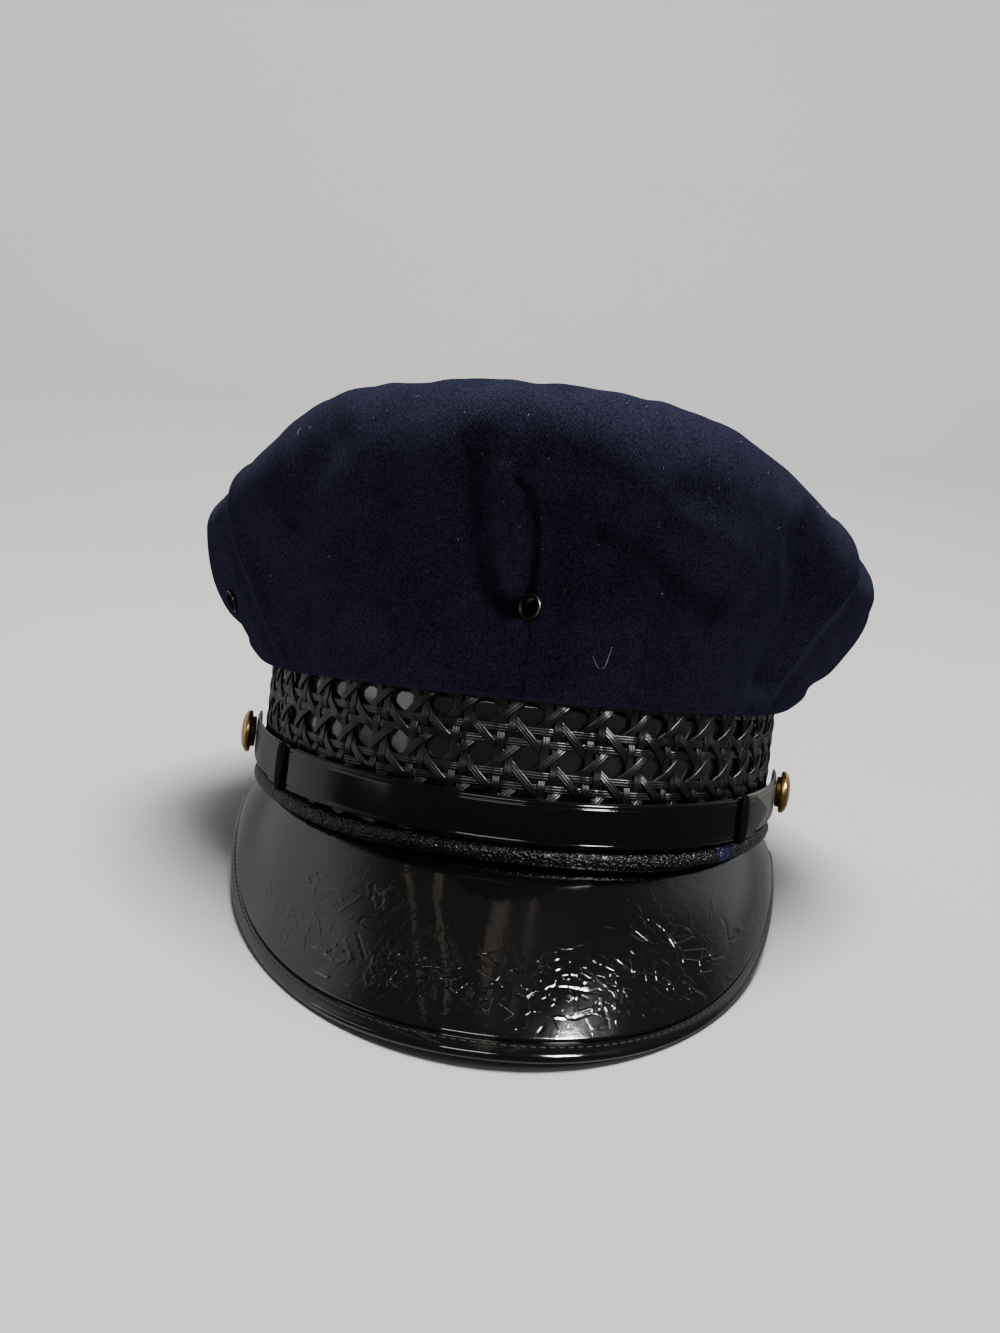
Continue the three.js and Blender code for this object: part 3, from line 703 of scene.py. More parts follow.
def turn_over(angle):
    """Where the wall starts to turn over into the top: its radius, its height and its share of the rise."""
    radius = between(TURN_BACK, TURN_FRONT, (0.5 + 0.5 * np.cos(angle)) ** 2)
    height = crown_edge(angle)[..., 2] + CLEARANCE + CLOTH - TURN_TALL * radius
    upright = height - hem_height(angle)
    return radius, height, upright / (upright + TURN_ANGLE * TURN_TALL * radius)


def wall_turn(angle, rise):
    """The angle by which the wall has turned over: 0 up the wall, then growing evenly to the top's seam."""
    share = turn_over(angle)[2]
    return TURN_ANGLE * np.clip((rise - share) / (1 - share), 0, 1)


def wall_out(angle, rise):
    """The direction out of the wall: level at first, and upright where it has turned over."""
    turn = wall_turn(angle, rise)[..., None]
    return oval_normal(angle) * np.cos(turn) + np.array([0, 0, 1.0]) * np.sin(turn)


# Shares of the wall's rise over which its folds grow and fade, and where its swell starts
FOLDS_GROW, FOLDS_FADE, SWELL_START = (0, 0.14), (0.9, 1), 0.3


def crown_wall(angle, rise, inset=0.0):
    """The wall from the hem (rise 0) out to the edge and over to the top's seam (rise 1), less the inset.

    Its plan goes from the hem's to the edge's by 1 - (1 - climb) to the power of the fullness, and it turns
    over in an upright oval. Its shoulder swells out, and its folds push it in.
    """
    angle, rise = np.broadcast_arrays(np.asarray(angle, float), np.asarray(rise, float))
    hem = oval_point(angle, CLEARANCE + CLOTH, hem_height(angle))
    edge = crown_edge(angle)
    radius, turn_height, share = turn_over(angle)
    height = between(hem[..., 2], turn_height, np.minimum(rise / share, 1))
    climb = (height - hem[..., 2]) / (edge[..., 2] - hem[..., 2])
    fullness = between(FULLNESS_FRONT, FULLNESS_SIDE, np.sin(angle) ** 2)
    plan = between(hem, edge, (1 - (1 - climb) ** fullness)[..., None])
    turn = wall_turn(angle, rise)
    plan *= (1 - radius * (1 - np.cos(turn)) / np.linalg.norm(edge[..., :2], axis=-1))[..., None]
    plan[..., 2] = height + TURN_TALL * radius * np.sin(turn)
    swell = sum(out * bell(np.degrees(angle) - at, width) for at, width, out in SWELLS)
    fade = smooth(*FOLDS_GROW, rise) * (1 - smooth(*FOLDS_FADE, rise))
    folds = fold_depth(angle, height + TURN_TALL * radius * turn)
    push = fade * folds + inset - swell * smooth(SWELL_START, share, rise)
    return plan - wall_out(angle, rise) * push[..., None]


def crown_rise(angle, height):
    """The rise of the wall's place at a height below its turn."""
    _, turn_height, share = turn_over(angle)
    return share * (height - hem_height(angle)) / (turn_height - hem_height(angle))


def side_seam(rise):
    return np.radians(SEAM_FOOT + SEAM_LEAN * rise - SEAM_CURVE * rise * rise)


def eyelet_seat(angle, height):
    """Where an eyelet sits on the wall, its rise, and the two directions along the wall there."""
    angle = np.array(math.radians(angle))
    rise = crown_rise(angle, height)
    step = 0.02
    around = crown_wall(angle + step, rise) - crown_wall(angle - step, rise)
    upwards = crown_wall(angle, rise + step) - crown_wall(angle, rise - step)
    return crown_wall(angle, rise), rise, around / (2 * step), upwards / (2 * step)


# How the cloth is drawn, in millimetres: hole for an eyelet, roll of the hem, ripples, puckers along the
# seams, swell beside them, line of the centre seam, pull round an eyelet, painted highlight beside the seams,
# ripples of the top, lap of the panels, and how far they swell beside a seam or sink along it
CLOTH_HOLE = EYELET_HOLE + 0.5
HOLE_REACH = 3.2
HEM_ROLL = 2.0
CLOTH_RIPPLE, CLOTH_WAVES = 0.22, (9, 34)
PUCKER, PUCKER_WIDTH, PUCKER_TURN, PUCKER_WANDER = 0.12, 6.0, 0.85, 0.23
PILLOW_WIDTH = 4.5
CENTRE_SEAM_WIDTH, CENTRE_SEAM_TOP = 0.5, (16, 21)
EYELET_PULL, EYELET_PULL_WIDTH = 0.5, 5.0
SEAM_HIGHLIGHT_AT, SEAM_HIGHLIGHT_WIDTH, TOP_SEAM_HIGHLIGHT_SHARE = 1.2, 0.9, 0.6
TOP_RIPPLE, TOP_WAVES = 0.6, (24, 75)
SEAM_LAP, FRONT_PILLOW, SIDE_PILLOW, CENTRE_SEAM_DEPTH = 0.06, 1.8, -1.0, 0.5
# Shares across the front panel where its grid is finer
PINCH_SHARES, CENTRE_SEAM_SHARES = (0.464, 0.516), (0.4962, 0.5038)


def turned_in(distance, radius):
    """How deep a panel's edge has turned in at a distance from it: a quarter circle."""
    inside = np.clip(radius - distance, 0, radius)
    return radius - np.sqrt(radius ** 2 - inside ** 2)


def ripples(across, up, amplitude, seed, wavelengths, count=24):
    """The unevenness of sewn cloth: a sum of sine waves of random directions, lengths and phases."""
    draw = np.random.default_rng(seed)
    turn = draw.uniform(0, 2 * math.pi, count)
    wave = draw.uniform(*wavelengths, count)
    start = draw.uniform(0, 2 * math.pi, count)
    along = across[..., None] * np.cos(turn) + up[..., None] * np.sin(turn)
    return amplitude * math.sqrt(2 / count) * np.sin(2 * math.pi * along / wave + start).sum(axis=-1)


def open_for_eyelet(angle, rise, eyelet):
    """Draws a grid aside round an eyelet, so that a block of its faces becomes a round hole.

    Points on the block's border go to the hole's circle, and those further off move less and less.
    Returns the moved grid, the distance from the eyelet's middle, and which faces stay.
    """
    _, middle_rise, around, upwards = eyelet_seat(*eyelet)
    middle_angle = math.radians(eyelet[0])
    per_angle, per_rise = np.linalg.norm(around), np.linalg.norm(upwards)
    x, y = (angle - middle_angle) * per_angle, (rise - middle_rise) * per_rise
    column, row = np.unravel_index(np.argmin(x ** 2 + y ** 2), x.shape)
    columns_out = max(2, int((np.abs(x[:, row]) < CLOTH_HOLE).sum() // 2))
    rows_out = max(2, int((np.abs(y[column]) < CLOTH_HOLE).sum() // 2))
    i, j = np.indices(x.shape)
    ring = np.maximum(np.abs(i - column) / columns_out, np.abs(j - row) / rows_out)
    from_x, from_y = x - x[column, row], y - y[column, row]
    circle = CLOTH_HOLE * ring / np.maximum(np.hypot(from_x, from_y), 1e-6)
    stay = smooth(1, HOLE_REACH, ring)
    x, y = between(from_x * circle, x, stay), between(from_y * circle, y, stay)
    i, j = np.indices((x.shape[0] - 1, x.shape[1] - 1)) + 0.5
    kept = (np.abs(i - column) > columns_out) | (np.abs(j - row) > rows_out)
    return middle_angle + x / per_angle, middle_rise + y / per_rise, np.hypot(x, y), kept.ravel()


def crown_panel(name, from_seam, to_seam, shares, rises, look, finish, seed, pillow, middle_seam=0.0):
    """A cloth panel of the wall between two seams, with its edges turned in.

    It swells beside its side seams by the pillow and sinks along a middle seam below its eyelet, and a block
    of its grid makes the eyelet's hole.
    """
    share, rise = np.meshgrid(shares, rises, indexing="ij")
    angle = between(from_seam(rise), to_seam(rise), share)
    beside = np.minimum(share, 1 - share) * (to_seam(rise) - from_seam(rise)) * FOLD_ARC_RADIUS
    tall = crown_edge(angle)[..., 2] - hem_height(angle) + TURN_BACK
    roll = look.seam_roll / MM
    turned = turned_in(beside, roll) + turned_in((1 - rise) * tall, roll) + turned_in(rise * tall, HEM_ROLL)
    quads = grid_quads(*share.shape)
    pulled = 0.0
    for panel, *eyelet in EYELETS.values():
        if panel == name:
            angle, rise, from_eyelet, kept = open_for_eyelet(angle, rise, eyelet)
            quads = quads[kept]
            pulled = EYELET_PULL * bell(from_eyelet, EYELET_PULL_WIDTH)
    across, up = angle * FOLD_ARC_RADIUS, rise * tall
    uneven = ripples(across, up, CLOTH_RIPPLE, seed, CLOTH_WAVES) - pulled
    gathered = np.sin(up * PUCKER_TURN + 2 * np.sin(up * PUCKER_WANDER))
    puckers = PUCKER * bell(beside, PUCKER_WIDTH) * gathered
    sunk = middle_seam * (1 - smooth(*CENTRE_SEAM_TOP, up)) * bell(across, CENTRE_SEAM_WIDTH)
    seamed = puckers + pillow * bell(beside - PILLOW_WIDTH, PILLOW_WIDTH) - sunk
    outer = crown_wall(angle, rise) + wall_out(angle, rise) * (uneven + seamed - turned)[..., None]
    inner = crown_wall(angle, rise, CLOTH)
    points, faces = shell(outer, inner, quads)
    threads = np.tile(np.stack([across, up], axis=-1).reshape(-1, 2), (2, 1))
    # Painted highlight: the cloth is marked paler just beside each seam and along the top edge, where the
    # seam's lip catches light
    top_seam_highlight = TOP_SEAM_HIGHLIGHT_SHARE * bell((1 - rise) * tall - SEAM_HIGHLIGHT_AT, SEAM_HIGHLIGHT_WIDTH)
    wear_and_highlight = np.maximum(bell(beside - SEAM_HIGHLIGHT_AT, SEAM_HIGHLIGHT_WIDTH), top_seam_highlight)
    marks = {"wear_and_highlight": np.tile(wear_and_highlight.ravel(), 2)}
    add_piece(name, points, faces, finish, [name], threads=threads, marks=marks)


def crown_top(look, finish, columns=288):
    """The eight-pointed top: rings out along its underside and back over its upper face.

    Its edge is turned in, and its rim is drawn to the wall's seam by a high power of the reach.
    """
    angle = full_turn(columns, -math.pi)
    seam = crown_wall(angle, np.ones(columns))
    edge = crown_edge(angle)
    seam_reach = np.linalg.norm(seam[:, :2], axis=-1) / np.linalg.norm(edge[:, :2], axis=-1)
    pole, rim = 0.03, 0.03
    under = np.linspace(pole, 1, 22)
    over = 1 - (1 - pole) * np.concatenate([np.linspace(0, rim, 14)[:-1], np.linspace(rim, 1, 56)])
    share = np.concatenate([under, over])[:, None]
    depth = np.concatenate([0 * under + CLOTH, 0 * over])[:, None]
    reach = share * seam_reach
    roll = look.seam_roll / MM
    rim_distance = (1 - share) * np.linalg.norm(seam[:, :2], axis=-1)
    turned = turned_in(rim_distance, roll) * (depth == 0)
    points = edge[None] * reach[..., None]
    lift = seam[:, 2] - top_height(angle, seam_reach)
    height = top_height(angle[None], reach) + between(CLEARANCE + CLOTH, lift, share ** 9)
    slack = ripples(points[..., 0], points[..., 1], TOP_RIPPLE, 31, TOP_WAVES) * (1 - share ** 8)
    points[..., 2] = height - depth - turned + slack * (depth == 0)
    poles = np.stack([points[0].mean(axis=0), points[-1].mean(axis=0)])
    points = np.concatenate([poles, points.reshape(-1, 3)])
    add_piece(
        "crown_top", points, turned_faces(*reach.shape), finish, ["crown_top"],
        threads=points[:, :2])


# The band

CANE_MIDDLE = -CANE_THICKNESS / 2
CANE_TUCK = 1.2
CANE_FOOT = WELT_HEIGHT - CANE_TUCK
CANE_RISE = CANE_TOP - CANE_FOOT
HOLE_ROW = 25.2
HOLE_SHIFT = 3.1
PAIR_UPRIGHT, PAIR_ROUND = 1.5, 1.75
WEAVE_DEPTH, SLANT_DEPTH = 0.42, 0.68
CROSSING_WIDTH = 1.3
SWEATBAND_WAVE, SWEATBAND_SLACK = 0.18, 0.1
STRAND_SECTION = np.array([
    (-1, -0.5), (-1, 0.1), (-0.8, 0.42), (-0.5, 0.48), (-0.34, 0.27), (-0.18, 0.5),
    (0.18, 0.5), (0.34, 0.27), (0.5, 0.48), (0.8, 0.42), (1, 0.1), (1, -0.5)])


class BandMeasure:
    """Distances along the band's oval, for a weave that closes on itself."""

    def __init__(self, hole_pitch):
        self.turn = np.linspace(-math.pi, math.pi, 4001)
        steps = np.linalg.norm(np.diff(oval_point(self.turn, CANE_MIDDLE, 0.0), axis=0), axis=1)
        arc = np.concatenate([[0], np.cumsum(steps)])
        self.arc = arc - arc[-1] / 2
        self.around = arc[-1]
        self.columns = round(self.around / hole_pitch)
        self.pitch = self.around / self.columns

    def angle(self, along):
        wrapped = np.mod(along - self.arc[0], self.around) + self.arc[0]
        return np.interp(wrapped, self.arc, self.turn)


def strand_points(measure, along, up, out, heading, look):
    """Strands on the band: a ridged flat section along paths of distance round, height and offset."""
    angle = measure.angle(along)
    foot = lower_rim(angle) + CANE_FOOT
    height = foot + up / CANE_RISE * (CANE_TOP - foot)
    normal = oval_normal(angle)
    centre = oval_point(angle, CANE_MIDDLE + out, height)
    level = np.cross([0.0, 0.0, 1.0], normal)
    across = np.array([0.0, 0.0, heading[0]]) - level * heading[1]
    half_width, thickness = look.strand_width / MM / 2, look.strand_thickness / MM
    wide = across[..., None, :] * (STRAND_SECTION[:, 0, None] * half_width)
    deep = normal[..., None, :] * (STRAND_SECTION[:, 1, None] * thickness)
    return centre[..., None, :] + wide + deep


def merged(*parts):
    """Several surfaces as one: points one after the other, and faces that count on."""
    points = np.concatenate([p.reshape(-1, 3) for p, _ in parts])
    starts = np.cumsum([0] + [p.reshape(-1, 3).shape[0] for p, _ in parts])
    faces = [f + start for (p, fs), start in zip(parts, starts) for f in outward(p.reshape(-1, 3), fs)]
    return points, faces


def cane_weave(look, finish, upright_steps=46, round_steps=517, slant_steps=48):
    """Paired uprights and rounds pass over and under by turns; slants lie over one pair, under the next."""
    measure = BandMeasure(look.hole_pitch / MM)
    pitch, row = measure.pitch, look.row_pitch / MM
    first_upright = HOLE_SHIFT + pitch / 2
    rows = HOLE_ROW + (np.arange(-2, 2) + 0.5) * row
    sides = np.array([-1.0, 1.0])

    upright_at = first_upright + np.arange(measure.columns) * pitch
    along, side = (grid.reshape(-1, 1) for grid in np.meshgrid(upright_at, sides, indexing="ij"))
    up = np.linspace(0, CANE_RISE, upright_steps)[None, :]
    crossings = sum(
        side * round_side * bell(up - (at + round_side * PAIR_ROUND), CROSSING_WIDTH)
        for at in rows for round_side in sides)
    along, up = np.broadcast_arrays(along + side * PAIR_UPRIGHT, up)
    uprights = strand_points(measure, along, up, WEAVE_DEPTH * crossings, (0.0, 1.0), look)

    along = np.linspace(0, measure.around, round_steps, endpoint=False)[None, :]
    up, side = (grid.reshape(-1, 1) for grid in np.meshgrid(rows, sides, indexing="ij"))
    low_enough = (up + side * PAIR_ROUND < CANE_RISE - 0.5).ravel()
    up, side = up[low_enough], side[low_enough]
    nearest = np.mod(along - first_upright + pitch / 2, pitch) - pitch / 2
    crossings = sum(
        -side * upright_side * bell(nearest - upright_side * PAIR_UPRIGHT, CROSSING_WIDTH)
        for upright_side in sides)
    along, up = np.broadcast_arrays(along, up + side * PAIR_ROUND)
    rounds = strand_points(measure, along, up, WEAVE_DEPTH * crossings, (1.0, 0.0), look)
    add_piece("cane_uprights", uprights, loft_faces(uprights), finish, ["cane_band"])
    add_piece("cane_rounds", rounds, loft_faces(rounds, True), finish)

    up = np.linspace(0, CANE_RISE, slant_steps)[None, :]
    slants = []
    for lean in sides:
        start = HOLE_SHIFT + np.arange(measure.columns)[:, None] * pitch
        along = start + lean * (up - rows[0]) * pitch / row
        wave = np.cos(2 * math.pi * (along - first_upright) / pitch)
        heading = unit(np.array([lean * pitch / row, 1.0]))
        along, height = np.broadcast_arrays(along, up)
        out = lean * SLANT_DEPTH * squared(wave, 0.5)
        points = strand_points(measure, along, height, out, heading, look)
        slants.append((points, loft_faces(points)))
    points, faces = merged(*slants)
    add_piece("cane_slants", points, faces, finish)


def sweatband(finish, stations=320, sides=48):
    """A thin ring wall inside the cane with rounded edges and a slow wave."""
    outer = -CANE_THICKNESS - CLEARANCE
    middle, half = outer - SWEATBAND_THICKNESS / 2, SWEATBAND_THICKNESS / 2
    angle = full_turn(stations, -math.pi)[:, None]
    turn = full_turn(sides)[None, :]
    foot = lower_rim(angle) + SWEATBAND_LIFT
    wave = SWEATBAND_WAVE * np.sin(9 * angle + 0.7) * np.sin(5 * angle)
    outwards = middle + np.minimum(wave, SWEATBAND_SLACK) + half * squared(np.cos(turn), 0.3)
    height = between(foot, SWEATBAND_TOP, 0.5 + 0.5 * squared(np.sin(turn), 0.9))
    points = oval_point(angle, outwards, height)[None]
    add_piece("sweatband", points, loft_faces(points, True), finish, ["sweatband"])


STAIN_ANGLE, STAIN_HEIGHT, STAIN_SIZE = 48.2, 6.4, 5.2
STAIN_ARC_RADIUS = 95
FINE_GATHER, BROAD_GATHER = 0.035, 0.025


def welt(finish, stations=640, sides=24):
    """A roll round the lower rim: an upright oval section, gathered a little and flat where it rests."""
    angle = full_turn(stations, -math.pi)[:, None]
    turn = full_turn(sides)[None, :]
    middle = lower_rim(angle) + WELT_HEIGHT / 2
    fine = np.sin(149 * angle + 2 * np.sin(7 * angle))
    gathers = 1 + FINE_GATHER * fine + BROAD_GATHER * np.sin(61 * angle)
    outwards = WELT_WIDTH / 2 * gathers * np.cos(turn)
    height = middle + WELT_HEIGHT / 2 * (0.5 + 0.5 * gathers) * np.sin(turn)
    points = oval_point(angle, outwards, height)
    stain_arc = (angle - math.radians(STAIN_ANGLE)) * STAIN_ARC_RADIUS
    from_stain = np.hypot(stain_arc, height - STAIN_HEIGHT)
    points = points[None]
    add_piece(
        "welt", points, loft_faces(points, True), finish, ["welt"],
        marks={"stain": bell(from_stain, STAIN_SIZE)}, on_floor=True)


# The peak

def visor_root(angle):
    return oval_point(angle, VISOR_TUCK, lower_rim(angle) - CLEARANCE)


def visor_edge(angle):
    """The peak's edge: an oval in plan that is level in front and climbs towards its ends."""
    spread = angle * VISOR_EDGE_ANGLE / VISOR_ANGLE
    climb = VISOR_END_RISE * (1 - np.cos(spread)) ** VISOR_RISE_POWER
    x, y = VISOR_HALF_WIDTH * np.sin(spread), -VISOR_REACH * np.cos(spread)
    return np.stack([x, y, climb - VISOR_DROP], axis=-1)


def visor_directions(angle):
    """Down the slope, along the edge and out of the upper face, with the slope's length."""
    step = 1e-3
    down = visor_edge(angle) - visor_root(angle)
    slope = unit(down)
    along = unit(visor_edge(angle + step) - visor_edge(angle - step))
    return slope, along, unit(np.cross(slope, along)), np.linalg.norm(down, axis=-1)


def binding_width(angle):
    return between(BINDING_SIDE, BINDING_FRONT, np.cos(angle) ** 2)


# Creases of the peak's film, in millimetres and radians. Three in five lie in a middle band, with a spread
# across, a middle and a spread down; the others lie at the sides, in ranges across and down. Then come the
# number of bends in a path, the share of them that are sharp, sharp and slight bends, headings, ranges of
# step, share of depth and width, and the margin within which a crease is felt
CREASE_BAND = (27.0, 37.0, 4.5)
CREASE_SIDE, CREASE_SIDE_DOWN = (22.0, 70.0), (13.0, 45.0)
CREASE_BENDS, SHARP_SHARE, SHARP_BEND, SLIGHT_BEND = 9, 0.2, 1.3, 0.07
CREASE_HEADING = (0.9, 0.7)
CREASE_STEP, CREASE_STRENGTH, CREASE_WIDTH = (0.4, 1.3), (0.3, 1.0), (0.26, 0.36)
CREASE_MARGIN = 1.5


def film_creases(across, down, look):
    """Creases of the peak's film: bell curves of the distance to short bent paths."""
    draw = np.random.default_rng(11)
    height = np.zeros(across.shape)
    band_across, band_down, band_deep = CREASE_BAND
    for number in range(look.crease_count):
        if number % 5 < 3:
            start_across = draw.normal(0.0, band_across)
            start_down = draw.normal(band_down, band_deep)
        else:
            start_across = draw.choice([-1.0, 1.0]) * draw.uniform(*CREASE_SIDE)
            start_down = draw.uniform(*CREASE_SIDE_DOWN)
        start = np.array([start_across, start_down])
        sharp = draw.uniform(size=CREASE_BENDS) < SHARP_SHARE
        sharp_bends = draw.normal(0, SHARP_BEND, CREASE_BENDS)
        bends = np.where(sharp, sharp_bends, draw.normal(0, SLIGHT_BEND, CREASE_BENDS))
        turns = draw.normal(*CREASE_HEADING) + np.cumsum(bends)
        step = draw.uniform(*CREASE_STEP)
        path = start + np.cumsum(np.stack([np.cos(turns), np.sin(turns)], axis=-1) * step, axis=0)
        deep = look.crease_depth / MM * draw.uniform(*CREASE_STRENGTH) * draw.choice([-1.0, 1.0])
        wide = draw.uniform(*CREASE_WIDTH)
        low, high = path.min(axis=0) - CREASE_MARGIN, path.max(axis=0) + CREASE_MARGIN
        near = (across > low[0]) & (across < high[0]) & (down > low[1]) & (down < high[1])
        place = np.stack([across[near], down[near]], axis=-1)
        height[near] += deep * bell(path_distance(place, path), wide)
    return height


def crowded_steps(count, middle, spread, crowding):
    """Shares from 0 to 1 that crowd round a middle: the even steps of one plus a bell's running sum."""
    fine = np.linspace(0, 1, 4001)
    density = 1 + crowding * bell(np.abs(fine - middle) / spread, 1.0) ** 0.5
    running = np.concatenate([[0], np.cumsum(density[:-1])])
    return np.interp(np.linspace(0, running[-1], count), running, fine)


# The sheet's margin beside the binding: how far its end lies under it, depth and width of the sunk line, and
# rows measured from the sheet's end
SHEET_TUCK, SEAM_DEPTH, SEAM_WIDTH = 0.5, 0.9, 0.5
SEAM_ROWS = np.array([1.7, 1.4, 1.15, 0.95, 0.75, 0.6, 0.3, 0.0])
# The creased film: a bowed band with its middle's distance down, half width, bow and depth, and a patch at
# each side with its place, its size and its strength
CREASED_DOWN, CREASED_HALF_WIDTH, CREASED_BOW, CREASED_DEPTH = 39, 70, 10, 9.0
SIDE_ACROSS, SIDE_DOWN, SIDE_WIDE, SIDE_DEEP, SIDE_STRENGTH = 46, 24, 20, 15, 0.6
SHEET_SWELL, SHEET_WAVES = 0.06, (20, 70)


def visor(look, finish, stations=560, rows=156):
    """The peak: a sheet from the band down to its binding, bulged by a sine.

    It is creased on its upper face, and sunk there beside the binding.
    """
    angle = np.radians(VISOR_ANGLE) * (2 * crowded_steps(stations, 0.5, 0.3, 3.0) - 1)
    slope, _, upper, long = visor_directions(angle)
    sheet_long = (long - binding_width(angle) + SHEET_TUCK)[:, None]
    over = crowded_steps(rows, 0.62, 0.3, 3.0) * (sheet_long - SEAM_ROWS[0])
    seam = sheet_long - SEAM_ROWS[1:]
    under = np.linspace(1, 0, 8) * sheet_long
    down = np.concatenate([over, seam, under], axis=1)
    share = down / sheet_long
    depth = np.where(np.arange(down.shape[1]) < over.shape[1] + seam.shape[1], 0, VISOR_THICKNESS)[None, :]
    sunk = SEAM_DEPTH * bell(np.maximum(sheet_long - SHEET_TUCK - down, 0), SEAM_WIDTH) * (depth == 0)
    bulge = VISOR_BULGE * (long / long.max())[:, None] ** VISOR_BULGE_POWER
    bulge = bulge * np.sin(math.pi * down / long[:, None])
    base = visor_root(angle)[:, None] + slope[:, None] * down[..., None]
    creases = film_creases(base[..., 0], down, look) * (depth == 0) * smooth(1, 0.93, share)
    swell = ripples(base[..., 0], down, SHEET_SWELL, 5, SHEET_WAVES)
    points = (base + upper[:, None] * (bulge + creases + swell - sunk - depth)[..., None])[None]
    across = base[..., 0]
    bow = down - CREASED_DOWN + (across / CREASED_HALF_WIDTH) ** 2 * CREASED_BOW
    at_sides = bell(np.abs(across) - SIDE_ACROSS, SIDE_WIDE) * bell(down - SIDE_DOWN, SIDE_DEEP)
    creased = np.maximum(bell(bow, CREASED_DEPTH), SIDE_STRENGTH * at_sides) * (depth == 0)
    add_piece("visor", points, loft_faces(points), finish, ["visor"], marks={"creased": creased})


def binding_points(angle, across, over):
    """Points on the binding's section: across from -1 at its inner to 1 at its outer edge, and over it."""
    slope, _, upper, _ = visor_directions(angle)
    half = binding_width(angle) / 2
    middle = visor_edge(angle) - slope * half[:, None] - upper * VISOR_THICKNESS / 2
    out = slope[:, None] * (half[:, None] * across)[..., None]
    return middle[:, None] + out + upper[:, None] * over[..., None]


# The stitches: their line across the binding, its furrow's depth and width, where a stitch starts over the
# binding's middle, how far it rises, its radius, and the share of its spacing that shows
STITCH_LINE, FURROW_DEPTH, FURROW_WIDTH = -0.5, 0.28, 0.16
STITCH_SEAT, STITCH_RISE, STITCH_RADIUS, STITCH_SHARE = 1.25, 0.28, 0.24, 0.78
BINDING_SQUARENESS = 0.62


def visor_binding(finish, stations=420, sides=28):
    """A strip folded round the peak's edge: a flat squared oval section with a furrow for the stitches."""
    angle = np.radians(VISOR_ANGLE) * np.linspace(-1, 1, stations)
    turn = full_turn(sides)[None, :]
    across = squared(np.cos(turn), BINDING_SQUARENESS) + 0 * angle[:, None]
    over = BINDING_THICKNESS / 2 * squared(np.sin(turn), BINDING_SQUARENESS) + 0 * angle[:, None]
    furrow = FURROW_DEPTH * bell(across - STITCH_LINE, FURROW_WIDTH) * np.sign(over)
    points = binding_points(angle, across, over - furrow)[None]
    add_piece("visor_binding", points, loft_faces(points), finish, ["visor_binding"], on_floor=True)


def edge_stitches(look, finish):
    """Stitches along the binding: each a short thread that rises out of the furrow and sinks again."""
    fine = np.radians(VISOR_ANGLE - 1) * np.linspace(-1, 1, 2001)
    line_at = np.full((len(fine), 1), STITCH_LINE)
    line = binding_points(fine, line_at, 0 * line_at + BINDING_THICKNESS / 2 * 0.86)[:, 0]
    arc = np.concatenate([[0], np.cumsum(np.linalg.norm(np.diff(line, axis=0), axis=1))])
    spacing = look.stitch_length / MM
    starts = np.arange(spacing / 2, arc[-1] - spacing, spacing)[:, None]
    share = np.linspace(0, 1, 7)[None, :]
    at = np.interp(starts + share * spacing * STITCH_SHARE, arc, fine)
    slope, _, upper, _ = (part.reshape(*at.shape, -1) for part in visor_directions(at.ravel()))
    line_at = np.full((at.size, 1), STITCH_LINE)
    centre = binding_points(at.ravel(), line_at, np.full((at.size, 1), STITCH_SEAT))
    rise = STITCH_RISE * np.sin(math.pi * share) ** 0.6
    centre = centre.reshape(*at.shape, 3) + upper * rise[..., None]
    size = STITCH_RADIUS * (0.55 + 0.45 * np.sin(math.pi * share) ** 0.5)[..., None, None]
    turn = full_turn(6)[:, None]
    ring = slope[..., None, :] * np.cos(turn) + upper[..., None, :] * np.sin(turn)
    points = centre[..., None, :] + size * ring
    add_piece("edge_stitches", points, loft_faces(points), finish)


# The chin strap

def strap_middle(angle):
    """The strap's height: it rises to the buttons by a power of its share of the way there."""
    share = np.abs(angle) / math.radians(BUTTON_ANGLE)
    return STRAP_HEIGHT + STRAP_END_RISE * share ** STRAP_RISE_POWER


# The strap's section: drop of its edges and its back's, how sharply they drop, depth, place and width of the
# pressed lines, rise of its middle, slack along it, width of its tip, and the degrees over which wear begins
EDGE_DROP, BACK_DROP, EDGE_POWER = 0.5, 0.3, 16
PRESSED_DEPTH, PRESSED_AT, PRESSED_WIDTH = 0.26, 0.8, 0.04
STRAP_CROWN, STRAP_SLACK, TIP_SHARE, WEAR_SPAN = 0.1, 0.12, 0.1, 4
UNDER_POINT_ANGLE = 1.0


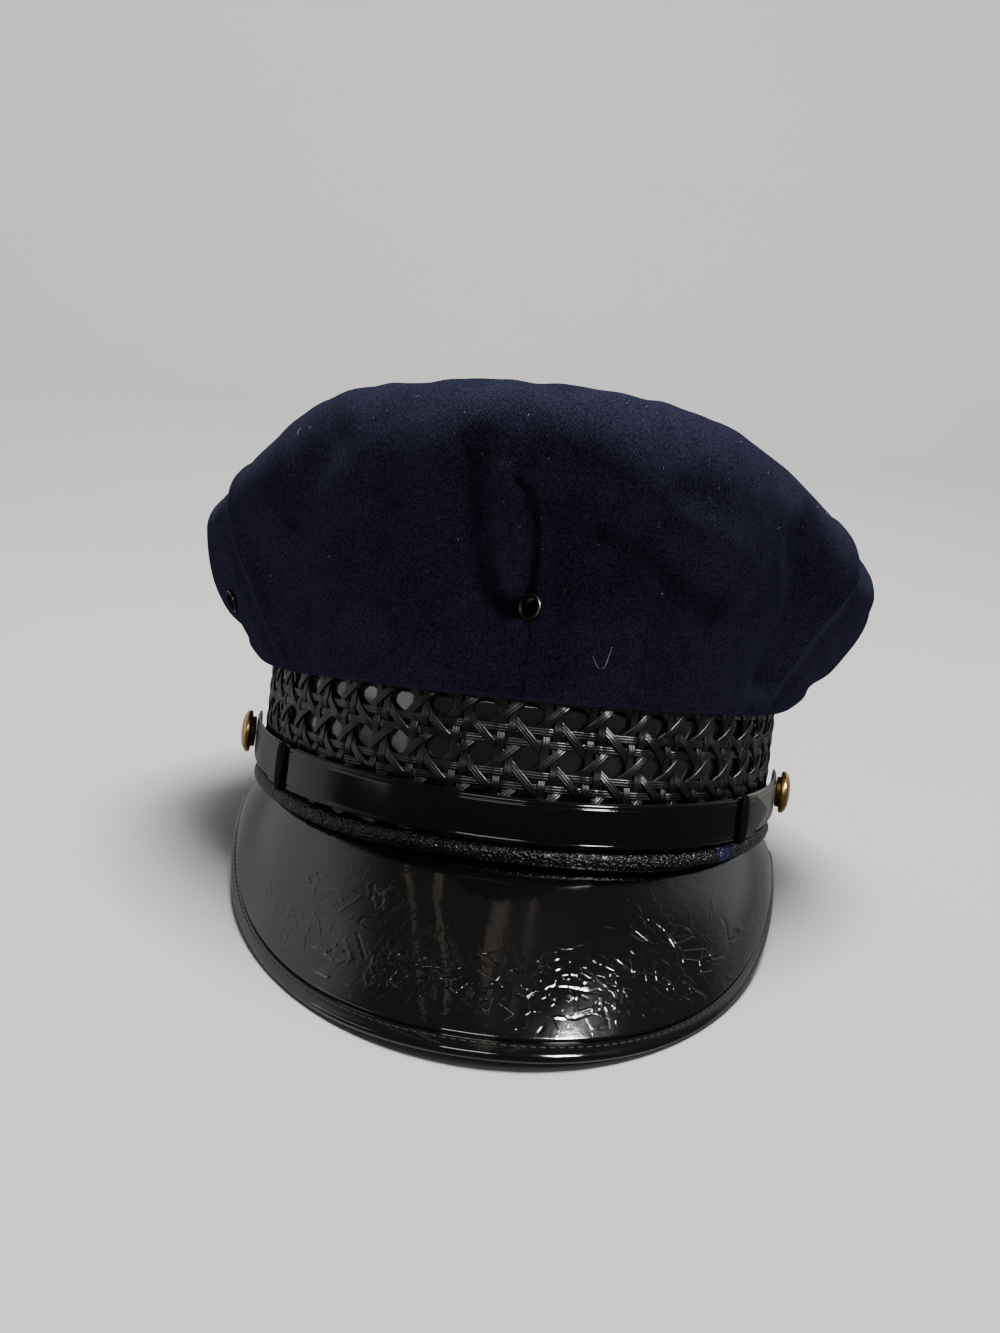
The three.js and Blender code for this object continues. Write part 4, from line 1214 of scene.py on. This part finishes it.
def strap(name, inner, end_angle, point_angle, worn_angle, finish, stations=200):
    """A strap length: a flat section with soft edges and a pressed line along each.

    It is drawn to a point at both ends, and worn beyond an angle.
    """
    body = end_angle - point_angle
    ends = np.linspace(body, end_angle, 14)
    degrees = np.concatenate([-ends[::-1], np.linspace(-body, body, stations)[1:-1], ends])
    angle = np.radians(degrees)[:, None]
    taper = np.clip((np.abs(degrees) - body) / point_angle, 0, 1)[:, None]
    half = STRAP_WIDTH / 2 * between(1, TIP_SHARE, taper)
    face, back = np.linspace(-1, 1, 65), np.linspace(1, -1, 7)
    edge_drop = EDGE_DROP * np.abs(face) ** EDGE_POWER
    pressed = PRESSED_DEPTH * bell(np.abs(face) - PRESSED_AT, PRESSED_WIDTH)
    proud = STRAP_THICKNESS + STRAP_CROWN * (1 - face ** 2) - edge_drop - pressed
    across = np.concatenate([face, back])[None, :]
    out = np.concatenate([proud, BACK_DROP * np.abs(back) ** EDGE_POWER])[None, :]
    slack = STRAP_SLACK * np.sin(11 * angle) * np.sin(4.3 * angle + 0.8)
    points = oval_point(angle, inner + out + slack, strap_middle(angle) + across * half)[None]
    wear_and_highlight = smooth(worn_angle, worn_angle + WEAR_SPAN, degrees)[:, None] + 0 * across
    add_piece(name, points, loft_faces(points), finish, [name], marks={"wear_and_highlight": wear_and_highlight})


# How much a keeper narrows to its top and bottom, and how square its path is
KEEPER_TAPER, KEEPER_SQUARENESS = 0.45, 0.25


def keeper(name, degrees, finish, stations=120, sides=20):
    """A flat loop round both strap lengths: a squared oval path, and a squared section between its two faces.

    The section narrows towards the loop's top and bottom as the square of the height.
    """
    angle = math.radians(degrees)
    turn = full_turn(stations)[:, None]
    section = full_turn(sides)[None, :]
    through = 0.5 + 0.5 * squared(np.sin(section), 0.6)
    level = np.cross([0.0, 0.0, 1.0], oval_normal(angle))
    near = UNDER_STRAP - CLEARANCE - KEEPER_BACK * through
    far = OUTER_STRAP + STRAP_THICKNESS + CLEARANCE + KEEPER_FRONT * through
    tall = STRAP_WIDTH / 2 + CLEARANCE + KEEPER_BACK * through
    out = between(near, far, 0.5 + 0.5 * squared(np.cos(turn), KEEPER_SQUARENESS))
    rise = squared(np.sin(turn), KEEPER_SQUARENESS)
    height = strap_middle(angle) + rise * tall
    along = KEEPER_WIDTH / 2 * squared(np.cos(section), 0.8) * (1 - KEEPER_TAPER * rise ** 2)
    points = (oval_point(angle, out, height) + level * along[..., None])[None]
    add_piece(name, points, loft_faces(points, True), finish, [name])


# Metal pieces

def turned_points(middle, axis, radius, height, sides):
    """Rings about an axis, each with a radius and a height along it."""
    first = unit(np.cross([0.0, 0.0, 1.0], axis))
    second = np.cross(axis, first)
    turn = full_turn(sides)
    spoke = first * np.cos(turn)[:, None] + second * np.sin(turn)[:, None]
    return middle + axis * height[:, None, None] + spoke * radius[:, None, None]


# The button's back plate, as shares of the button's radius and of the plate's height, then the heights of
# plate and brim as shares of the whole, and the line round the dome: its turn up the dome, depth and width
BACK_RADII = [0.3, 0.7, 0.72, 0.72, 0.74, 0.9]
BACK_HEIGHTS = [0, 0, 0.1, 0.9, 1, 1]
BASE_SHARE, BRIM_SHARE = 0.3, 0.62
DOME_LINE, DOME_LINE_DEPTH, DOME_LINE_WIDTH = 0.42, 0.12, 0.05


def button(name, degrees, finish, sides=72):
    """A domed button turned about its axis: a back plate painted dark as shade, a rolled rim painted darker
    towards the back, and a low dome with a line.
    """
    angle = np.array(math.radians(degrees))
    base, brim = BASE_SHARE * BUTTON_HEIGHT, BRIM_SHARE * BUTTON_HEIGHT
    roll = np.linspace(0, 0.8 * math.pi, 11)
    dome = np.linspace(0, math.pi / 2, 26)[:-1]
    radius = BUTTON_RADIUS * np.concatenate([
        BACK_RADII, 0.93 + 0.07 * np.sin(roll), 0.945 * np.cos(dome)])
    line = DOME_LINE_DEPTH * bell(dome - DOME_LINE, DOME_LINE_WIDTH)
    height = np.concatenate([
        base * np.array(BACK_HEIGHTS), between(base, brim, (1 - np.cos(roll)) / 1.81),
        between(0.98 * brim, BUTTON_HEIGHT, np.sin(dome) ** 1.1) - line])
    dome_hollow = 0.8 * bell(dome, 0.1) + 0.6 * bell(dome - DOME_LINE, 0.07)
    # Painted shade: the back plate takes the full tarnish colour and the rim darkens towards it on the side
    # turned away from the light; the dome's hollows carry real tarnish
    tarnish_and_back_shade = np.concatenate([np.ones(len(BACK_RADII)), 0.9 - 0.8 * roll / roll[-1], dome_hollow])
    middle = oval_point(angle, OUTER_STRAP, strap_middle(angle))
    axis = oval_normal(angle)
    rings = turned_points(middle, axis, radius, height, sides)
    points = np.concatenate([[middle], [middle + axis * BUTTON_HEIGHT], rings.reshape(-1, 3)])
    marks = {"tarnish_and_back_shade": np.concatenate([[1.0, 0.0], np.repeat(tarnish_and_back_shade, sides)])}
    add_piece(name, points, turned_faces(len(radius), sides), finish, [name], marks=marks)


# The eyelet's barrel: wall, how deep the flange's edge is set, and the heights of its inner and outer tops
BARREL_WALL, FLANGE_SET, BARREL_INNER_TOP, BARREL_OUTER_TOP = 0.4, 0.3, -1.0, -0.6


def eyelet(name, finish, sides=72):
    """A vent eyelet turned about its axis: a rounded flange on the cloth, and a barrel through it."""
    _, angle, height = EYELETS[name]
    middle, _, around, upwards = eyelet_seat(angle, height)
    roll = np.linspace(0, math.pi, 15)
    half, barrel = (EYELET_RADIUS - EYELET_HOLE) / 2, EYELET_HOLE + BARREL_WALL
    foot = -CLOTH - EYELET_FLANGE
    flange = (CLEARANCE + EYELET_FLANGE) * np.sin(roll) ** 0.7 - FLANGE_SET
    radius = np.concatenate([
        EYELET_HOLE + half + half * np.cos(roll), [EYELET_HOLE, EYELET_HOLE, barrel, barrel]])
    level = np.concatenate([flange, [BARREL_INNER_TOP, foot, foot, BARREL_OUTER_TOP]])
    crest = np.concatenate([bell(roll - 0.7, 0.35), np.zeros(4)])
    rings = turned_points(middle, unit(np.cross(around, upwards)), radius, level, sides)
    points = np.swapaxes(rings, 0, 1)[None]
    marks = {"crest": np.tile(crest, sides)}
    add_piece(name, points, loft_faces(points, True), finish, [name], marks=marks)


# The long hair on the crown's front: angle and height where it starts, length, heading, bend and thickness
HAIR = (13.9, 63.2, 12.5, -98.0, -135.0, 0.09)
# The bits of fluff: number, widest angle, lowest, likeliest and highest rise, and height over the wall's face
LINT_COUNT, LINT_ANGLE, LINT_RISES, LINT_OUT = 74, 56, (0.1, 0.8, 0.93), 0.45


def fluff_points(angle, rise, long, heading, bend, thick, count, bent_part):
    """Thin threads on the cloth: each path's heading turns along it, and its section is a small square."""
    share = np.linspace(0, 1, count)[None, :]
    turn = np.radians(heading + bend * smooth(*bent_part, share))
    step = long / count
    angles = angle + np.cumsum(np.cos(turn) * step, axis=1) / FOLD_ARC_RADIUS
    _, turn_height, upright = turn_over(angle)
    rises = rise + np.cumsum(np.sin(turn) * step, axis=1) * upright / (turn_height - hem_height(angle))
    out = wall_out(angles, rises)
    centre = crown_wall(angles, rises) + out * LINT_OUT
    level = np.cross([0.0, 0.0, 1.0], oval_normal(angles))
    corner = full_turn(4)[:, None]
    thin = (thick * np.sin(math.pi * np.clip(share, 0.08, 0.92)) ** 0.5)[..., None, None]
    ring = level[..., None, :] * np.cos(corner) + out[..., None, :] * np.sin(corner)
    return centre[..., None, :] + thin * ring


def lint(finish):
    """One long curled hair, and many short bits of fluff strewn at random over the crown's front."""
    angle, height, long, heading, bend, thick = (np.array([[value]]) for value in HAIR)
    angle = np.radians(angle)
    hair = fluff_points(angle, crown_rise(angle, height), long, heading, bend, thick, 28, (0.38, 0.8))
    draw = np.random.default_rng(23)
    angle = np.radians(draw.uniform(-LINT_ANGLE, LINT_ANGLE, (LINT_COUNT, 1)))
    rise = draw.triangular(*LINT_RISES, (LINT_COUNT, 1))
    long = draw.gamma(2.0, 0.28, (LINT_COUNT, 1)) + 0.2
    heading, bend = draw.uniform(0, 360, (LINT_COUNT, 1)), draw.normal(0, 130, (LINT_COUNT, 1))
    thick = draw.uniform(0.03, 0.06, (LINT_COUNT, 1))
    bits = fluff_points(angle, rise, long, heading, bend, thick, 8, (0.0, 0.95))
    points, faces = merged((hair, loft_faces(hair)), (bits, loft_faces(bits)))
    add_piece("lint", points, faces, finish)


# The stage

# The photograph's camera in the upright cap's frame, in millimetres, degrees and pixels
EYE = np.array([0.0, -520.0, 65.5])
LOOK_DOWN, LOOK_ASIDE, CAMERA_ROLL = 1.6, 0.97, 6.5
FOCAL_PIXELS, PHOTO_LONG_SIDE, SENSOR = 1508.0, 1333.0, 36.0


def photo_camera():
    """A camera at the photograph's place: turned aside, then down, then rolled, and tipped with the cap."""
    down, aside, roll = (math.radians(a) for a in (LOOK_DOWN, LOOK_ASIDE, CAMERA_ROLL))
    level = math.cos(down)
    forward = np.array([-math.sin(aside) * level, math.cos(aside) * level, -math.sin(down)])
    right = np.array([math.cos(aside), math.sin(aside), 0.0])
    above = np.cross(right, forward)
    axes = np.stack([
        right * math.cos(roll) + above * math.sin(roll),
        above * math.cos(roll) - right * math.sin(roll), -forward], axis=-1)
    data = bpy.data.cameras.new("photo_camera")
    data.sensor_width = SENSOR
    data.lens = SENSOR * FOCAL_PIXELS / PHOTO_LONG_SIDE
    data.clip_start = 0.01
    camera = bpy.data.objects.new("photo_camera", data)
    bpy.context.scene.collection.objects.link(camera)
    camera.matrix_world = Matrix.Translation(to_rest(EYE)) @ Matrix((TO_REST @ axes).tolist()).to_4x4()
    bpy.context.scene.camera = camera


# Light panels, in metres: place, aim, size, share of the panel power, and the kind of ray that passes it by
PANELS = {
    "spark_panel": ((0.98, -0.80, 1.20), (0, -0.1, 0.05), (0.34, 0.34), 2.0, "diffuse"),
    "glint_panel": ((-0.2, -1.25, 1.0), (0, -0.1, 0.05), (0.7, 0.25), 0.24, "diffuse"),
    "top_panel": ((0.12, 0.06, 1.68), (0, -0.05, 0.1), (0.7, 0.7), 2.8, "glossy"),
    "backdrop_panel": ((-0.7, 1.0, 2.0), (-0.7, 2.6, 1.6), (7.4, 1.2), 6.2, "none"),
    "side_panel": ((-1.6, -0.55, 0.3), (0, 0, 0.08), (0.9, 0.4), 0.06, "none"),
}
# Narrow panels overhead: how far aside each hangs, and its width; then what they have in common
STREAKS = ((-0.78, 0.05), (-0.50, 0.07), (0.02, 0.16), (0.30, 0.05))
STREAK_HEIGHT, STREAK_FORWARD, STREAK_LONG, STREAK_SHARE = 1.6, -0.1, 1.1, 0.045
# The floor, in metres: its front, half width, start of its sweep upwards, the sweep's radius, and its top
FLOOR_FRONT, FLOOR_HALF_WIDTH, SWEEP_START, SWEEP_RADIUS, BACKDROP_TOP = -4.0, 5.0, 1.6, 0.9, 4.5


def soft_panel(name, place, aim, size, power, colour=(1.0, 1.0, 1.0)):
    """An oblong light panel at a place, facing an aim."""
    data = bpy.data.lights.new(name, "AREA")
    data.shape = "RECTANGLE"
    data.size, data.size_y = size
    data.energy = power
    data.color = colour
    panel = bpy.data.objects.new(name, data)
    bpy.context.scene.collection.objects.link(panel)
    panel.location = place
    panel.rotation_euler = (Vector(aim) - Vector(place)).to_track_quat("-Z", "Y").to_euler()
    return panel


def soft_room(look):
    """Light from all round: pale behind the cap, and dim in front of it and overhead."""
    room = Finish("soft_room", "worlds")
    direction = room.node("ShaderNodeTexCoord", output="Generated")
    behind = room.node("ShaderNodeSeparateXYZ", None, {0: direction}, output="Y")
    height = room.node("ShaderNodeSeparateXYZ", None, {0: direction}, output="Z")
    aside = room.node("ShaderNodeSeparateXYZ", None, {0: direction}, output="X")
    low_light = aside.span(-0.95, -0.6, 1.0, 0.36)
    raised = height.span(-0.02, 0.2)
    pale = (behind - aside * 0.3).span(0.05, 0.35) * (1.0 - height.span(0.55, 0.85))
    pale = pale * (raised + (1.0 - raised) * low_light)
    dim = room.blend(height.span(0.45, 0.85), look.dim_colour, look.overhead_colour)
    colour = room.blend(pale, dim, look.pale_colour)
    light = room.node("ShaderNodeBackground", None, {"Color": colour, "Strength": look.sky_strength})
    room.node("ShaderNodeOutputWorld", None, {"Surface": light})
    bpy.context.scene.world = room.owner


def floor_sheet(look):
    """A floor that sweeps up into a backdrop: a level run, a quarter circle and an upright."""
    turn = np.linspace(0, math.pi / 2, 25)
    backdrop = SWEEP_START + SWEEP_RADIUS
    along = np.concatenate([[FLOOR_FRONT], SWEEP_START + SWEEP_RADIUS * np.sin(turn), [backdrop]])
    height = np.concatenate([[0.0], SWEEP_RADIUS * (1 - np.cos(turn)), [BACKDROP_TOP]])
    sides = np.array([-FLOOR_HALF_WIDTH, FLOOR_HALF_WIDTH])
    points = np.stack([
        np.repeat(sides, len(along)), np.tile(along, 2), np.tile(height, 2)], axis=-1)
    mesh = bpy.data.meshes.new("floor")
    mesh.from_pydata(points.tolist(), [], grid_quads(2, len(along)).tolist())
    mesh.polygons.foreach_set("use_smooth", np.ones(len(mesh.polygons), bool))
    mesh.materials.append(floor_finish(look))
    floor = bpy.data.objects.new("floor", mesh)
    bpy.context.scene.collection.objects.link(floor)
    floor.visible_glossy = False


# Operators

class CAP_OT_set_stage(bpy.types.Operator):
    """Lay the floor, hang the lights and set up the camera"""
    bl_idname = "cap.set_stage"
    bl_label = "Set stage"

    def execute(self, context):
        look = context.scene.cap_stage
        floor_sheet(look)
        soft_room(look)
        power = look.panel_power
        for name, (place, aim, size, share, passed_by) in PANELS.items():
            panel = soft_panel(name, place, aim, size, share * power)
            panel.visible_diffuse = passed_by != "diffuse"
            panel.visible_glossy = passed_by != "glossy"
        for number, (across, wide) in enumerate(STREAKS):
            place, aim = (across, STREAK_FORWARD, STREAK_HEIGHT), (across, STREAK_FORWARD, 0.0)
            size, share = (wide, STREAK_LONG), STREAK_SHARE * wide
            soft_panel(f"streak_{number}", place, aim, size, share * power, look.streak_colour)
        photo_camera()
        return {"FINISHED"}


class CAP_OT_sew_crown(bpy.types.Operator):
    """Sew the crown from its front, its two sides and its top"""
    bl_idname = "cap.sew_crown"
    bl_label = "Sew crown"

    def execute(self, context):
        look = context.scene.cap_crown
        finish = cloth_finish(look)
        lap = SEAM_LAP / BAND_HALF_WIDTH

        def left(rise):
            return -side_seam(rise)

        front_rises, side_rises = edged_steps(104, 80.0), edged_steps(80, 60.0)
        pinch, seam_line = np.linspace(*PINCH_SHARES, 24), np.linspace(*CENTRE_SEAM_SHARES, 15)
        front_shares = np.unique(np.concatenate([edged_steps(230, 240.0, 1.4), pinch, seam_line]))
        side_shares = edged_steps(160, 230.0)
        crown_panel(
            "crown_front", lambda r: left(r) - lap, lambda r: side_seam(r) + lap,
            front_shares, front_rises, look, finish, 3, FRONT_PILLOW, CENTRE_SEAM_DEPTH)
        crown_panel(
            "crown_left", lambda r: -lap - math.pi + 0 * r, lambda r: left(r) + lap,
            side_shares, side_rises, look, finish, 4, SIDE_PILLOW)
        crown_panel(
            "crown_right", lambda r: side_seam(r) - lap, lambda r: math.pi + lap + 0 * r,
            side_shares, side_rises, look, finish, 8, SIDE_PILLOW)
        crown_top(look, finish)
        return {"FINISHED"}


class CAP_OT_weave_band(bpy.types.Operator):
    """Weave the cane band"""
    bl_idname = "cap.weave_band"
    bl_label = "Weave band"

    def execute(self, context):
        look = context.scene.cap_cane
        cane_weave(look, cane_finish(look))
        return {"FINISHED"}


class CAP_OT_line_band(bpy.types.Operator):
    """Line the band with its sweatband and edge it with its welt"""
    bl_idname = "cap.line_band"
    bl_label = "Line and edge band"

    def execute(self, context):
        look = context.scene.cap_leather
        sweatband(sweatband_finish(look))
        welt(grained_finish(look))
        return {"FINISHED"}


class CAP_OT_make_peak(bpy.types.Operator):
    """Make the peak, its binding and the stitches along it"""
    bl_idname = "cap.make_peak"
    bl_label = "Make peak"

    def execute(self, context):
        look = context.scene.cap_leather
        finish = patent_finish(look, "patent_leather", ior=1.68, sharpest=0.04, dullest=0.16)
        visor(look, finish)
        visor_binding(finish)
        edge_stitches(look, thread_finish(look.thread_colour, "black_thread"))
        return {"FINISHED"}


class CAP_OT_fit_strap(bpy.types.Operator):
    """Fit the two lengths of the chin strap and their keepers"""
    bl_idname = "cap.fit_strap"
    bl_label = "Fit strap"

    def execute(self, context):
        look = context.scene.cap_leather
        finish = patent_finish(look, "strap_leather", ior=1.45, sharpest=0.06, dullest=0.15)
        strap("strap_outer", OUTER_STRAP, STRAP_OUTER_ANGLE, STRAP_POINT_ANGLE, STRAP_OUTER_ANGLE, finish)
        wear_and_highlight = patent_finish(look, "worn_strap_leather", ior=1.5, sharpest=0.22, dullest=0.38)
        strap("strap_under", UNDER_STRAP, STRAP_UNDER_ANGLE, UNDER_POINT_ANGLE, KEEPER_ANGLE, wear_and_highlight)
        dull = keeper_finish(look)
        keeper("keeper_left", -KEEPER_ANGLE, dull)
        keeper("keeper_right", KEEPER_ANGLE, dull)
        return {"FINISHED"}


class CAP_OT_fix_metal(bpy.types.Operator):
    """Fix the buttons and the eyelets"""
    bl_idname = "cap.fix_metal"
    bl_label = "Fix buttons and eyelets"

    def execute(self, context):
        look = context.scene.cap_metal
        gold = gold_finish(look)
        button("button_left", -BUTTON_ANGLE, gold)
        button("button_right", BUTTON_ANGLE, gold)
        blackened = blackened_finish(look)
        for name in EYELETS:
            eyelet(name, blackened)
        return {"FINISHED"}


class CAP_OT_scatter_lint(bpy.types.Operator):
    """Scatter the bits of lint that cling to the cloth"""
    bl_idname = "cap.scatter_lint"
    bl_label = "Scatter lint"

    def execute(self, context):
        lint(thread_finish(context.scene.cap_crown.lint_colour, "pale_fluff"))
        return {"FINISHED"}


class CAP_PT_sidebar(bpy.types.Panel):
    """The cap's settings and steps in the sidebar"""
    bl_label = "Peaked cap"
    bl_idname = "CAP_PT_sidebar"
    bl_space_type = "VIEW_3D"
    bl_region_type = "UI"
    bl_category = "Peaked cap"

    def draw(self, context):
        for name, group in SETTINGS.items():
            box = self.layout.box()
            box.label(text=group.__doc__)
            for key in group.__annotations__:
                box.prop(getattr(context.scene, name), key)
        for step in STEPS:
            self.layout.operator(step.bl_idname)


SETTINGS = {
    "cap_crown": CapCrownSettings,
    "cap_cane": CapCaneSettings,
    "cap_leather": CapLeatherSettings,
    "cap_metal": CapMetalSettings,
    "cap_stage": CapStageSettings,
}
STEPS = (
    CAP_OT_set_stage, CAP_OT_sew_crown, CAP_OT_weave_band, CAP_OT_line_band, CAP_OT_make_peak,
    CAP_OT_fit_strap, CAP_OT_fix_metal, CAP_OT_scatter_lint,
)


def register():
    for name, group in SETTINGS.items():
        bpy.utils.register_class(group)
        setattr(bpy.types.Scene, name, PointerProperty(type=group))
    for step in (*STEPS, CAP_PT_sidebar):
        bpy.utils.register_class(step)


def unregister():
    for step in (CAP_PT_sidebar, *reversed(STEPS)):
        bpy.utils.unregister_class(step)
    for name, group in SETTINGS.items():
        delattr(bpy.types.Scene, name)
        bpy.utils.unregister_class(group)


def main():
    """Registers the add-on and runs its steps in order."""
    register()
    bpy.ops.cap.set_stage()
    bpy.ops.cap.sew_crown()
    bpy.ops.cap.weave_band()
    bpy.ops.cap.line_band()
    bpy.ops.cap.make_peak()
    bpy.ops.cap.fit_strap()
    bpy.ops.cap.fix_metal()
    bpy.ops.cap.scatter_lint()


if __name__ == "__main__":
    main()
